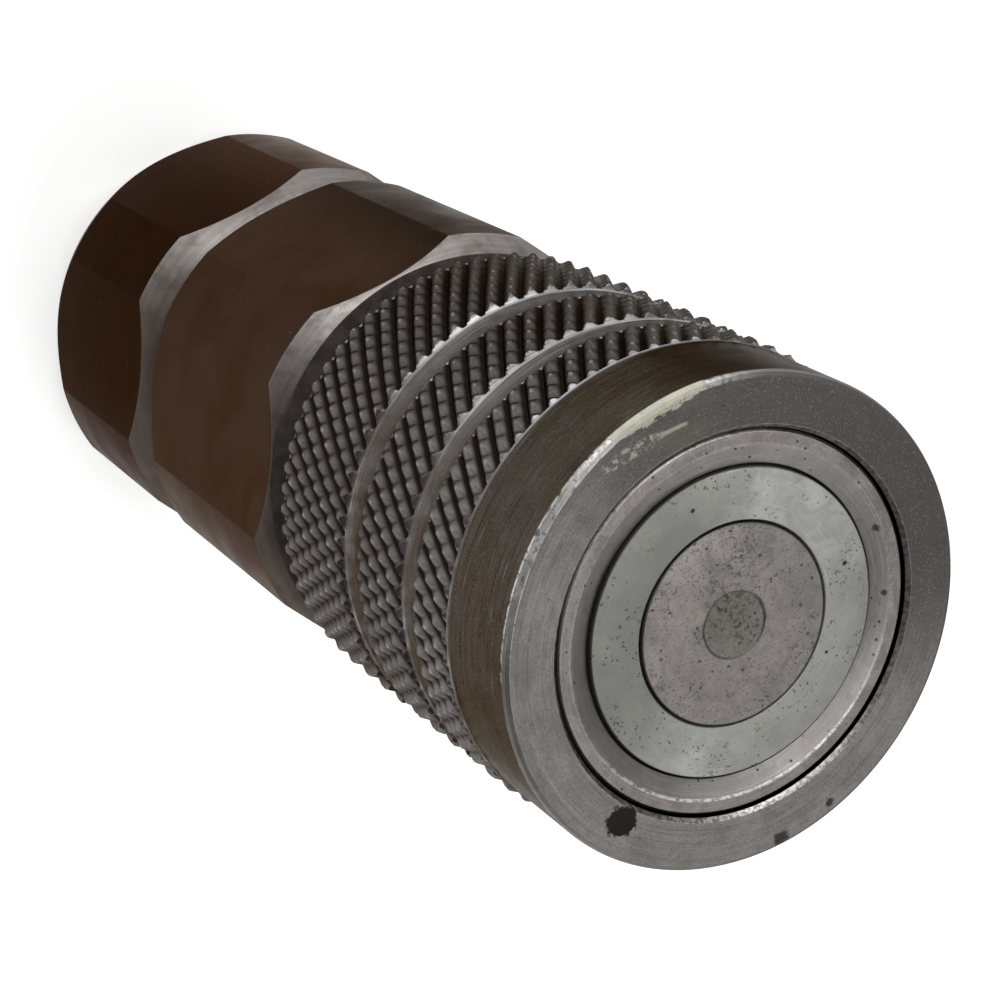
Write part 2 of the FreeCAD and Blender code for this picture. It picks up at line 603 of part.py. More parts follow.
# seals
for label, mean, section, plane in (
        ("probe_oring", "probe_ring_c", "probe_ring_w", "probe_ring_z"),
        ("stem_seal", "stem_ring_c", "stem_ring_w", "stem_ring_z"),
        ("adapter_oring", "joint_ring_c", "joint_ring_w", "joint_ring_z")):
    ring = doc.addObject("Part::Torus", label)
    ring.Label = label
    ring.setExpression("Radius1", "Dims." + mean)
    ring.setExpression("Radius2", "Dims." + section)
    ring.Placement = FreeCAD.Placement(FreeCAD.Vector(0, 0, VALUE[plane]), FreeCAD.Rotation())
    ring.setExpression("Placement.Base.z", "Dims." + plane)
    parts.append(ring)
parts.append(revolved("probe_backup_ring", [
    ("probe_back_in", "probe_back_bot_z"), ("probe_back_out", "probe_back_bot_z"),
    ("probe_back_out", "probe_back_top_z"), ("probe_back_in", "probe_back_top_z"),
]))
parts.append(revolved("adapter_backup_ring", [
    ("joint_back_in", "joint_back_bot_z"), ("joint_back_out", "joint_back_bot_z"),
    ("joint_back_out", "joint_back_top_z"), ("joint_back_in", "joint_back_top_z"),
]))

doc.recompute()
for item in doc.Objects:
    if "Invalid" in item.State or "Error" in item.State:
        raise RuntimeError("%s is %s" % (item.Name, item.State))
for part in parts:
    if part.Shape.isNull() or not part.Shape.isValid():
        raise RuntimeError("%s has no valid shape" % part.Label)
    if not part.Shape.Solids:
        raise RuntimeError("%s has no solid" % part.Label)

os.makedirs("parts", exist_ok=True)
for part in parts:
    part.Shape.exportStep("parts/%s.step" % part.Label)
    box = part.Shape.BoundBox
    print("%-22s solids %2d volume %10.2f  r %.2f  z %.2f to %.2f" % (
        part.Label, len(part.Shape.Solids), part.Shape.Volume, max(box.XMax, box.YMax), box.ZMin, box.ZMax))
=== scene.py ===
import bpy
import bmesh
import math
import random
import numpy as np
from mathutils import Matrix, Vector


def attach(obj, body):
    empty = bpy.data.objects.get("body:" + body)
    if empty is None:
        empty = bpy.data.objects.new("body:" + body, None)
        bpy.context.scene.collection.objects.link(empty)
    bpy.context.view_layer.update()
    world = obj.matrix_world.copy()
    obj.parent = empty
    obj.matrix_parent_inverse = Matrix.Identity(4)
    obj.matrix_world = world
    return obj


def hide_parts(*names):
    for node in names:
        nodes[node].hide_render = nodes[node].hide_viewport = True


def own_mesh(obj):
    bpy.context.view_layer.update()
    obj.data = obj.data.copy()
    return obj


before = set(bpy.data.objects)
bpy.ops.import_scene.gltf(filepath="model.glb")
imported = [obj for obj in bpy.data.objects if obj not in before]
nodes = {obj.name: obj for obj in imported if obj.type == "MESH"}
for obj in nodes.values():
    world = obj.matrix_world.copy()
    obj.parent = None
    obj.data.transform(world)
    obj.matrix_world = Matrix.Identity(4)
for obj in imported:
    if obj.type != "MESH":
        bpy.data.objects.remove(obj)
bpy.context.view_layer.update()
MM = 0.001
random.seed(7)

# ---------------------------------------------------------------- geometry helpers


def round_profile(points, radii, seg=4):
    """Rounds the corners of a closed (r, z) outline. The number of points out never depends on the sizes."""
    out = []
    n = len(points)
    for i, (p, rad) in enumerate(zip(points, radii)):
        if rad <= 0:
            out.append(p)
            continue
        a = Vector(points[i - 1]) - Vector(p)
        b = Vector(points[(i + 1) % n]) - Vector(p)
        la, lb = a.length, b.length
        if la < 1e-6 or lb < 1e-6:
            out.extend([p] * (seg + 1))
            continue
        a /= la
        b /= lb
        half = math.acos(max(-1.0, min(1.0, a.dot(b)))) / 2.0
        if half > math.radians(88.5):
            out.extend([p] * (seg + 1))
            continue
        cut = min(rad / math.tan(half), 0.45 * la, 0.45 * lb)
        r = cut * math.tan(half)
        centre = Vector(p) + (a + b).normalized() * (r / math.sin(half))
        t0 = Vector(p) + a * cut
        t1 = Vector(p) + b * cut
        a0 = math.atan2(t0[1] - centre[1], t0[0] - centre[0])
        a1 = math.atan2(t1[1] - centre[1], t1[0] - centre[0])
        d = (a1 - a0 + math.pi) % (2 * math.pi) - math.pi
        for k in range(seg + 1):
            ang = a0 + d * k / seg
            out.append((centre[0] + r * math.cos(ang), centre[1] + r * math.sin(ang)))
    return out


def lathe(name, outline, thetas, sharp=32.0, poles=False):
    """A closed skin from outline(theta), a list of (r, z) in millimetres. With poles the list runs axis to axis."""
    loops = [outline(t) for t in thetas]
    n = len(loops[0])
    verts, faces = [], []
    if poles:
        top = (0.0, 0.0, loops[0][0][1] * MM)
        low = (0.0, 0.0, loops[0][-1][1] * MM)
        m = n - 2
        for t, loop in zip(thetas, loops):
            c, s = math.cos(t), math.sin(t)
            for r, z in loop[1:-1]:
                verts.append((r * c * MM, r * s * MM, z * MM))
        verts.append(top)
        verts.append(low)
        it, il = len(verts) - 2, len(verts) - 1
        k = len(thetas)
        for i in range(k):
            j = (i + 1) % k
            for q in range(m - 1):
                faces.append((i * m + q, i * m + q + 1, j * m + q + 1, j * m + q))
            faces.append((it, i * m, j * m))
            faces.append((il, j * m + m - 1, i * m + m - 1))
    else:
        for t, loop in zip(thetas, loops):
            c, s = math.cos(t), math.sin(t)
            for r, z in loop:
                verts.append((r * c * MM, r * s * MM, z * MM))
        k = len(thetas)
        for i in range(k):
            j = (i + 1) % k
            for q in range(n):
                w = (q + 1) % n
                faces.append((i * n + q, i * n + w, j * n + w, j * n + q))
    me = bpy.data.meshes.new(name)
    me.from_pydata(verts, [], faces)
    me.validate()
    ob = bpy.data.objects.new(name, me)
    bpy.context.scene.collection.objects.link(ob)
    tidy(ob, sharp)
    return ob


def tidy(ob, sharp):
    bm = bmesh.new()
    bm.from_mesh(ob.data)
    bmesh.ops.remove_doubles(bm, verts=bm.verts, dist=1e-7)
    bmesh.ops.recalc_face_normals(bm, faces=bm.faces)
    bm.to_mesh(ob.data)
    bm.free()
    for p in ob.data.polygons:
        p.use_smooth = True
    ob.data.set_sharp_from_angle(angle=math.radians(sharp))


def even(count):
    return [2 * math.pi * i / count for i in range(count)]


HEX_HALF, HEX_TURN = 19.0, 20.2
HEX_EDGE = math.degrees(math.acos(HEX_HALF / HEX_TURN))   # flat runs this far each side of its middle


def hex_r(t):
    local = math.radians((math.degrees(t) % 60.0) - 30.0)
    return min(HEX_TURN, HEX_HALF / math.cos(local))


def hex_thetas():
    out = set()
    for k in range(6):
        mid = 60.0 * k + 30.0
        for s in (-1, 1):
            edge = mid + s * HEX_EDGE
            for d in (-0.35, 0.0, 0.35):
                out.add(round((edge + d) % 360.0, 4))
    for d in range(0, 360):
        if all(abs((d - e + 180) % 360 - 180) > 0.6 for e in [60.0 * k + 30.0 + s * HEX_EDGE for k in range(6) for s in (-1, 1)]):
            out.add(float(d))
    return [math.radians(d) for d in sorted(out)]


def end_chamfer(t, z_face, sense, r_face, length):
    """z of the edge where an end chamfer meets the hex side at this angle."""
    r = hex_r(t)
    return z_face + sense * (r - r_face) / (HEX_TURN - r_face) * length


# ---------------------------------------------------------------- body


def body_outline(t):
    r = hex_r(t)
    pts = [
        (15.6, 26.5), (17.9, 26.5), (r, end_chamfer(t, 26.5, 1, 17.9, 3.5)), (r, end_chamfer(t, 56.7, -1, 18.85, 2.2)),
        (18.85, 56.7), (16.5, 56.7), (15.9, 57.3), (15.9, 66.5), (17.5, 66.5), (17.5, 68.9), (15.15, 68.9),
        (15.15, 90.2), (15.05, 90.5), (15.05, 99.27), (14.82, 99.5), (13.9, 99.5), (12.3, 98.95), (12.3, 88.6), (14.05, 88.6),
        (14.05, 85.6), (12.3, 85.6), (12.3, 78.05), (13.0, 78.05), (13.0, 45.5), (15.0, 45.5), (15.0, 27.1)]
    rad = [0, .12, .22, .22, .15, 0, .3, 0, .15, .15, 0, 0, 0, .07, .07, .18, .1, 0, 0, 0, 0, 0, 0, 0, 0, 0]
    return round_profile(pts, rad, 4)


body = lathe("body_looks", body_outline, hex_thetas())
cutters = bmesh.new()
for k in range(12):
    a = 2 * math.pi * k / 12
    turn = Matrix.Rotation(a, 4, "Z") @ Matrix.Translation((0.0138, 0, 0.093)) @ Matrix.Rotation(math.pi / 2, 4, "Y")
    bmesh.ops.create_cone(cutters, cap_ends=True, segments=40, radius1=0.00205, radius2=0.00205, depth=0.004, matrix=turn)
cutter_mesh = bpy.data.meshes.new("cutters")
cutters.to_mesh(cutter_mesh)
cutters.free()
cutter = bpy.data.objects.new("cutters", cutter_mesh)
bpy.context.scene.collection.objects.link(cutter)
mod = body.modifiers.new("holes", "BOOLEAN")
mod.operation = "DIFFERENCE"
mod.solver = "EXACT"
mod.object = cutter
dg = bpy.context.evaluated_depsgraph_get()
cut_mesh = bpy.data.meshes.new_from_object(body.evaluated_get(dg))
body.modifiers.clear()
old = body.data
body.data = cut_mesh
bpy.data.meshes.remove(old)
bpy.data.objects.remove(cutter)
for p in body.data.polygons:
    p.use_smooth = True
body.data.set_sharp_from_angle(angle=math.radians(32))
body.name = "body_looks"

# ---------------------------------------------------------------- adapter, with a real thread in the port

PITCH, MINOR, MAJOR = 1.814, 9.32, 10.45
THREAD_Z = np.linspace(15.8, 1.0, 8 * 12 + 1)


def thread_r(t, z):
    u = (z / PITCH - t / (2 * math.pi)) % 1.0
    h = 1.0 - abs(2.0 * u - 1.0)
    h = min(1.0, max(0.0, (h - 0.14) / 0.72))
    fade = min(1.0, max(0.0, (z - 0.6) / 0.9)) * min(1.0, max(0.0, (16.6 - z) / 1.2))
    return max(MINOR + (MAJOR - MINOR) * h * fade, MINOR)


def adapter_outline(t):
    r = hex_r(t)
    first = [
        (18.9, 0.0), (r, end_chamfer(t, 0.0, 1, 18.9, 3.5)), (r, end_chamfer(t, 26.5, -1, 17.9, 3.5)), (17.9, 26.5),
        (14.98, 26.5), (14.98, 27.6), (13.2, 27.6), (13.2, 30.6), (14.98, 30.6), (14.98, 38.9), (14.38, 39.5), (11.8, 39.5),
        (11.8, 32.0), (7.5, 27.7), (7.5, 18.5), (10.7, 18.5), (10.7, 16.0)]
    rad = [.15, .22, .22, .12, 0, 0, 0, 0, 0, 0, 0, .2, 0, 0, .15, 0, 0]
    pts = first + [(10.9, 0.0)]
    out = round_profile(pts, rad + [.15], 4)
    lead = out[-5:]
    bore = []
    for z in THREAD_Z:
        cone = 10.9 - max(0.0, z) * (10.9 - MINOR) / 1.6
        bore.append((max(thread_r(t, z), cone), float(z)))
    return out[:-5] + bore + lead


adapter = lathe("adapter_looks", adapter_outline, hex_thetas(), sharp=34)

# ---------------------------------------------------------------- locking sleeve with a cut diamond knurl

TEETH, CREST, ROOT = 68, 19.95, 19.18
AXIAL = (2 * math.pi * CREST / TEETH) / math.tan(math.radians(30))
PER = 12
STEP = AXIAL / PER


def arc_points(p, q, radius, side, count):
    """Points from p to q along an arc, in (r, z)."""
    p, q = Vector(p), Vector(q)
    mid, d = (p + q) / 2, q - p
    chord = d.length
    rise = math.sqrt(max(0.0, radius * radius - chord * chord / 4))
    c = mid + Vector((-d[1], d[0])) / chord * rise * side
    a0 = math.atan2(p[1] - c[1], p[0] - c[0])
    a1 = math.atan2(q[1] - c[1], q[0] - c[0])
    dd = (a1 - a0 + math.pi) % (2 * math.pi) - math.pi
    return [(c[0] + radius * math.cos(a0 + dd * k / count), c[1] + radius * math.sin(a0 + dd * k / count)) for k in range(count + 1)]


# outer outline from the face down, without the knurl
turned = [(19.05, 99.9), (19.32, 99.77), (19.47, 99.52)]
turned += arc_points((19.47, 91.30), (19.95, 90.6), .95, 1, 6)
turned += arc_points((19.95, 85.8), (19.2, 85.1), .95, 1, 6)
turned += arc_points((19.2, 83.35), (19.95, 82.6), .95, 1, 6)
turned += arc_points((19.95, 75.8), (19.2, 75.1), .95, 1, 6)
turned += arc_points((19.2, 72.95), (19.95, 72.2), .95, 1, 6)
turned += [(19.95, 61.25), (19.75, 60.8), (19.35, 60.6)]
TZ = np.array([z for r, z in turned])[::-1]
TR = np.array([r for r, z in turned])[::-1]
BANDS = [(90.95, 85.45), (82.95, 75.45), (72.55, 60.75)]


def outer_z():
    """Rows down the outside: knurl rows on one lattice through every band, plus the turned corners."""
    zs = set(round(z, 4) for r, z in turned)
    k = 0
    z = 99.5
    while z > 60.7:
        if any(lo - 1e-6 <= z <= hi + 1e-6 for hi, lo in BANDS):
            zs.add(round(z, 4))
        z -= STEP
    for z in (97.5, 95.5, 93.5, 92.0):
        zs.add(z)
    out = sorted(zs, reverse=True)
    keep = [out[0]]
    for z in out[1:]:
        if keep[-1] - z > 0.035:
            keep.append(z)
    return keep


OUT_Z = outer_z()


PHASE1, PHASE2, SHALLOW = 0.48, 0.73, 0.40


def knurl(t, z):
    """Tooth height 0 to 1: pointed teeth between V grooves, deep one way and shallower the other, tips a little worn."""
    a = TEETH * t / (2 * math.pi)
    b = (99.5 - z) / AXIAL
    f1 = a + b + PHASE1
    f2 = a - b + PHASE2
    t1 = 1.0 - abs(1.0 - 2.0 * (f1 - math.floor(f1)))
    t2 = SHALLOW + (1.0 - SHALLOW) * (1.0 - abs(1.0 - 2.0 * (f2 - math.floor(f2))))
    t1 = min(1.0, t1 * 1.03)
    d = t1 - t2
    low = 0.5 * (t1 + t2 - math.sqrt(d * d + 0.003))
    return max(0.0, min(1.0, 0.35 * t1 * t2 + 0.65 * low + 0.03))


INNER = [(17.6, 60.6), (17.6, 61.4), (18.5, 61.4), (18.5, 62.5), (17.6, 62.5), (17.6, 85.0), (15.2, 85.0), (15.2, 91.05),
         (16.6, 92.45), (16.6, 98.4), (15.2, 98.4), (15.2, 99.56), (15.24, 99.64), (15.43, 99.83), (15.50, 99.9)]


def make_sleeve():
    cols = TEETH * PER
    zs = OUT_Z
    env = np.interp(np.array(zs), TZ, TR)
    rows = []
    heights = []
    cuts = []
    for z, e in zip(zs, env):
        in_band = any(lo <= z <= hi for hi, lo in BANDS)
        line, hh, cc = [], [], []
        for i in range(cols):
            t = 2 * math.pi * i / cols
            if in_band:
                h = knurl(t, z)
                k = ROOT + (CREST - ROOT) * h
                line.append(min(e, k))
                hh.append(h)
                cc.append(1.0 if k < e - 0.005 or (e > CREST - 0.02 and h < 0.97) else 0.0)
            else:
                line.append(e)
                hh.append(0.5)
                cc.append(0.0)
        rows.append((z, line))
        heights.append(hh)
        cuts.append(cc)
    for r, z in INNER:
        rows.append((z, [r] * cols))
        heights.append([0.5] * cols)
        cuts.append([0.0] * cols)
    m = len(rows)
    verts = []
    ang = [(math.cos(2 * math.pi * i / cols), math.sin(2 * math.pi * i / cols)) for i in range(cols)]
    for z, line in rows:
        for i in range(cols):
            verts.append((line[i] * ang[i][0] * MM, line[i] * ang[i][1] * MM, z * MM))
    faces = []
    no = len(zs)
    for j in range(m):
        w = (j + 1) % m
        z0, z1 = rows[j][0], rows[w][0]
        band = j < no - 1 and any(lo <= z0 <= hi and lo <= z1 <= hi for hi, lo in BANDS)
        for i in range(cols):
            k = (i + 1) % cols
            a, b, c, d = j * cols + i, j * cols + k, w * cols + k, w * cols + i
            if band:
                tm = 2 * math.pi * (i + 0.5) / cols
                hc = knurl(tm, (z0 + z1) / 2)
                ac = abs((heights[j][i] + heights[w][k]) / 2 - hc)
                bd = abs((heights[j][k] + heights[w][i]) / 2 - hc)
                if ac <= bd:
                    faces.append((a, d, c))
                    faces.append((a, c, b))
                else:
                    faces.append((a, d, b))
                    faces.append((b, d, c))
            else:
                faces.append((a, d, c, b))
    me = bpy.data.meshes.new("sleeve_looks")
    me.from_pydata(verts, [], faces)
    att = me.attributes.new("knurl", "FLOAT", "POINT")
    att.data.foreach_set("value", np.array([h for hh in heights for h in hh], np.float32))
    att = me.attributes.new("cut", "FLOAT", "POINT")
    att.data.foreach_set("value", np.array([c for cc in cuts for c in cc], np.float32))
    ob = bpy.data.objects.new("sleeve_looks", me)
    bpy.context.scene.collection.objects.link(ob)
    bm = bmesh.new()
    bm.from_mesh(me)
    bmesh.ops.recalc_face_normals(bm, faces=bm.faces)
    bm.to_mesh(me)
    bm.free()
    for p in me.polygons:
        p.use_smooth = True
    me.set_sharp_from_angle(angle=math.radians(24))
    return ob


sleeve = make_sleeve()

# ---------------------------------------------------------------- shut-off sleeve and stem


def shut_outline(t):
    pts = [(8.12, 99.25), (12.1, 99.25), (12.1, 98.5), (12.25, 98.25), (12.25, 78.0), (12.93, 78.0), (12.93, 75.25),
           (9.2, 75.25), (9.2, 90.0), (7.95, 92.0), (7.95, 98.85)]
    rad = [.12, .12, 0, 0, 0, .2, .2, .1, 0, 0, .1]
    return round_profile(pts, rad, 4)


shut = lathe("shutoff_looks", shut_outline, even(240))


def stem_outline(t):
    pts = [(0, 99.24), (2.55, 99.24), (2.75, 99.36), (7.9, 99.36), (7.9, 96.4), (6.3, 96.4), (6.3, 94.6), (7.9, 94.6),
           (7.9, 93.3), (4.5, 90.5), (4.5, 50.2), (5.3, 49.4), (5.3, 45.5), (3.0, 45.5), (3.0, 33.7), (2.5, 33.2), (0, 33.2)]
    rad = [0, .1, .08, .14, .1, 0, 0, .1, .2, .4, .5, .2, .1, 0, .1, .1, 0]
    body_pts = round_profile(pts, rad, 4)
    return body_pts


stem = lathe("stem_looks", stem_outline, even(200), poles=True)

# ---------------------------------------------------------------- materials


class Net:
    """Short hand for building node trees."""

    def __init__(self, name):
        self.mat = bpy.data.materials.new(name)
        self.mat.use_nodes = True
        self.nt = self.mat.node_tree
        for n in list(self.nt.nodes):
            self.nt.nodes.remove(n)
        self.out = self.add("ShaderNodeOutputMaterial")
        self.bsdf = self.add("ShaderNodeBsdfPrincipled")
        self.link(self.bsdf.outputs[0], self.out.inputs[0])
        tc = self.add("ShaderNodeTexCoord")
        sc = self.add("ShaderNodeVectorMath", operation="SCALE")
        sc.inputs["Scale"].default_value = 1000.0
        self.link(tc.outputs["Object"], sc.inputs[0])
        self.p = sc.outputs[0]
        sep = self.add("ShaderNodeSeparateXYZ")
        self.link(self.p, sep.inputs[0])
        self.x, self.y, self.z = sep.outputs
        self.r = self.math("SQRT", self.math("ADD", self.math("MULTIPLY", self.x, self.x), self.math("MULTIPLY", self.y, self.y)))
        self.c = self.math("DIVIDE", self.x, self.math("MAXIMUM", self.r, 0.01))
        self.s = self.math("DIVIDE", self.y, self.math("MAXIMUM", self.r, 0.01))

    def add(self, kind, **props):
        n = self.nt.nodes.new(kind)
        for k, v in props.items():
            setattr(n, k, v)
        return n

    def link(self, a, b):
        self.nt.links.new(a, b)

    def put(self, value, socket):
        if isinstance(value, (int, float)):
            socket.default_value = value
        elif isinstance(value, (tuple, list)):
            socket.default_value = value
        else:
            self.link(value, socket)

    def math(self, op, a, b=None, c=None, clamp=False):
        n = self.add("ShaderNodeMath", operation=op)
        n.use_clamp = clamp
        self.put(a, n.inputs[0])
        if b is not None:
            self.put(b, n.inputs[1])
        if c is not None:
            self.put(c, n.inputs[2])
        return n.outputs[0]

    def vec(self, x, y, z):
        n = self.add("ShaderNodeCombineXYZ")
        self.put(x, n.inputs[0])
        self.put(y, n.inputs[1])
        self.put(z, n.inputs[2])
        return n.outputs[0]

    def noise(self, vector, scale=1.0, detail=3.0, rough=0.5, distortion=0.0):
        n = self.add("ShaderNodeTexNoise")
        self.put(vector, n.inputs["Vector"])
        n.inputs["Scale"].default_value = scale
        n.inputs["Detail"].default_value = detail
        n.inputs["Roughness"].default_value = rough
        n.inputs["Distortion"].default_value = distortion
        return n.outputs[0]

    def cells(self, vector, scale, randomness=1.0):
        n = self.add("ShaderNodeTexVoronoi")
        self.put(vector, n.inputs["Vector"])
        n.inputs["Scale"].default_value = scale
        n.inputs["Randomness"].default_value = randomness
        return n.outputs["Distance"]

    def ramp(self, value, lo, hi, a=0.0, b=1.0, smooth=True):
        n = self.add("ShaderNodeMapRange")
        n.interpolation_type = "SMOOTHSTEP" if smooth else "LINEAR"
        n.clamp = True
        self.put(value, n.inputs[0])
        self.put(lo, n.inputs[1])
        self.put(hi, n.inputs[2])
        self.put(a, n.inputs[3])
        self.put(b, n.inputs[4])
        return n.outputs[0]

    def mix(self, f, a, b):
        n = self.add("ShaderNodeMix", data_type="RGBA")
        self.put(f, n.inputs[0])
        self.put(a if not isinstance(a, tuple) or len(a) == 4 else a + (1.0,), n.inputs[6])
        self.put(b if not isinstance(b, tuple) or len(b) == 4 else b + (1.0,), n.inputs[7])
        return n.outputs[2]

    def lathe_marks(self, across, along=1.2):
        """Fine rings round the axis: fast across the cut, slow round it."""
        k = self.math("MULTIPLY", self.math("ADD", self.z, self.r), across)
        return self.vec(k, self.math("MULTIPLY", self.c, along), self.math("MULTIPLY", self.s, along))

    def near_axis_angle(self, degrees, half, soft):
        """1 inside a fan of azimuth about degrees, 0 outside."""
        a = math.radians(degrees)
        dot = self.math("ADD", self.math("MULTIPLY", self.c, math.cos(a)), self.math("MULTIPLY", self.s, math.sin(a)))
        return self.ramp(dot, math.cos(math.radians(half + soft)), math.cos(math.radians(half)))

    def spot(self, x, y, radius, wobble, soft=0.25):
        """1 inside a ragged spot on a face."""
        dx = self.math("SUBTRACT", self.x, x)
        dy = self.math("SUBTRACT", self.y, y)
        d = self.math("SQRT", self.math("ADD", self.math("MULTIPLY", dx, dx), self.math("MULTIPLY", dy, dy)))
        n = self.noise(self.p, 1.5, 3.0, 0.6)
        d = self.math("ADD", d, self.math("MULTIPLY", self.math("SUBTRACT", n, 0.5), wobble))
        return self.ramp(d, radius - soft * 0.5, radius + soft * 0.5, 1.0, 0.0)

    def bump(self, height, distance, strength=1.0, normal=None):
        n = self.add("ShaderNodeBump")
        n.inputs["Strength"].default_value = strength
        n.inputs["Distance"].default_value = distance * MM
        self.put(height, n.inputs["Height"])
        if normal is not None:
            self.link(normal, n.inputs["Normal"])
        return n.outputs[0]

    def finish(self, colour, rough, metallic, normal=None):
        self.put(colour if not isinstance(colour, tuple) or len(colour) == 4 else colour + (1.0,), self.bsdf.inputs["Base Color"])
        self.put(rough, self.bsdf.inputs["Roughness"])
        self.put(metallic, self.bsdf.inputs["Metallic"])
        if normal is not None:
            self.link(normal, self.bsdf.inputs["Normal"])
        return self.mat


def geometry_nz(n):
    g = n.add("ShaderNodeNewGeometry")
    sep = n.add("ShaderNodeSeparateXYZ")
    n.link(g.outputs["Normal"], sep.inputs[0])
    return sep.outputs[2]


def hex_base(n):
    """Browned flats, bare turned chamfers, with painted shade and painted light in fans round the axis and on the
    adapter. Returns colour, roughness, chamfer mask, ring marks and pits.
    """
    smudge = n.noise(n.p, 0.16, 4.0, 0.55, 0.6)
    grain = n.noise(n.p, 2.6, 4.0, 0.6)
    rings = n.noise(n.lathe_marks(5.0), 1.0, 2.0, 0.6)
    nz = n.math("ABSOLUTE", geometry_nz(n))
    worn = n.math("MULTIPLY", n.math("SUBTRACT", n.noise(n.p, 0.9, 4.0, 0.7, 0.4), 0.5), 0.35)
    cham = n.ramp(n.math("ADD", nz, worn), 0.08, 0.48)
    dark = n.mix(n.ramp(smudge, 0.3, 0.7), (0.038, 0.0235, 0.0175), (0.049, 0.0315, 0.0240))
    rust = n.math("MULTIPLY", n.ramp(n.z, 2.0, 9.0, 1.0, 0.0), n.ramp(n.noise(n.p, 0.28, 3.0, 0.6), 0.45, 0.65))
    dark = n.mix(n.math("MULTIPLY", rust, 0.6), dark, (0.085, 0.030, 0.017))
    # painted shade: the flats below z 24 to 28 mm, on the adapter, are darkened towards black
    dark = n.mix(n.ramp(n.z, 24.0, 28.0, 0.35, 0.0), dark, (0.012, 0.008, 0.006))
    # painted shade: the flats round azimuth -89 on the body are darkened nearly to black
    dark = n.mix(n.math("MULTIPLY", n.math("MULTIPLY", n.near_axis_angle(-89.0, 28.0, 32.0), n.ramp(n.z, 26.0, 30.0, 0.35, 0.98)), 1.0), dark, (0.013, 0.0135, 0.0120))
    # painted light: the adapter flats round azimuth -62 are lightened to a paler brown
    dark = n.mix(n.math("MULTIPLY", n.near_axis_angle(-62.0, 12.0, 26.0), n.ramp(n.z, 22.0, 28.0, 0.6, 0.0)), dark, (0.085, 0.050, 0.039))
    # painted shade: the adapter flats round azimuth 0 are darkened nearly to black
    dark = n.mix(n.math("MULTIPLY", n.near_axis_angle(0.0, 32.0, 32.0), n.ramp(n.z, 22.0, 30.0, 0.6, 0.0)), dark, (0.009, 0.005, 0.004))
    bare = n.mix(n.ramp(rings, 0.3, 0.7), (0.46, 0.435, 0.415), (0.62, 0.595, 0.57))
    bare = n.mix(n.ramp(n.noise(n.p, 0.45, 3.0, 0.6), 0.46, 0.66, 0.0, 0.5), bare, (0.16, 0.135, 0.115))
    # painted shade: the bare chamfers are darkened in a wide fan round azimuth 45, dimming their highlights
    bare = n.mix(n.math("MULTIPLY", n.near_axis_angle(45.0, 14.0, 60.0), 0.94), bare, (0.050, 0.037, 0.030))
    # painted shade: the chamfers below z 27.5 to 31 mm are darkened
    bare = n.mix(n.ramp(n.z, 27.5, 31.0, 0.25, 0.0), bare, (0.10, 0.08, 0.068))
    # painted shade: the bare chamfers round azimuth -50 are darkened, dimming their highlights
    bare = n.mix(n.math("MULTIPLY", n.near_axis_angle(-50.0, 22.0, 22.0), 0.6), bare, (0.050, 0.042, 0.038))
    scuff = n.math("MULTIPLY", n.ramp(n.noise(n.vec(n.math("MULTIPLY", n.z, 0.5), n.math("MULTIPLY", n.x, 2.5), n.math("MULTIPLY", n.y, 2.5)), 1.0, 4.0, 0.7), 0.66, 0.72), 0.5)
    dark = n.mix(scuff, dark, (0.11, 0.088, 0.075))
    col = n.mix(cham, dark, bare)
    pits = n.ramp(n.noise(n.p, 1.1, 5.0, 0.7), 0.66, 0.74)
    col = n.mix(n.math("MULTIPLY", pits, 0.5), col, (0.014, 0.011, 0.009))
    rough = n.math("ADD", n.ramp(smudge, 0.3, 0.7, 0.30, 0.42), n.math("MULTIPLY", n.math("SUBTRACT", grain, 0.5), 0.16))
    return col, rough, cham, rings, pits


def hex_steel():
    n = Net("hex_steel")
    col, rough, cham, rings, pits = hex_base(n)
    b = n.bump(n.noise(n.p, 0.9, 3.0, 0.5), 0.02, 0.5)
    b = n.bump(n.math("MULTIPLY", rings, cham), 0.012, 0.6, b)
    n.bsdf.inputs["Specular Tint"].default_value = (0.50, 0.455, 0.43, 1.0)
    return n.finish(col, rough, 1.0, b)


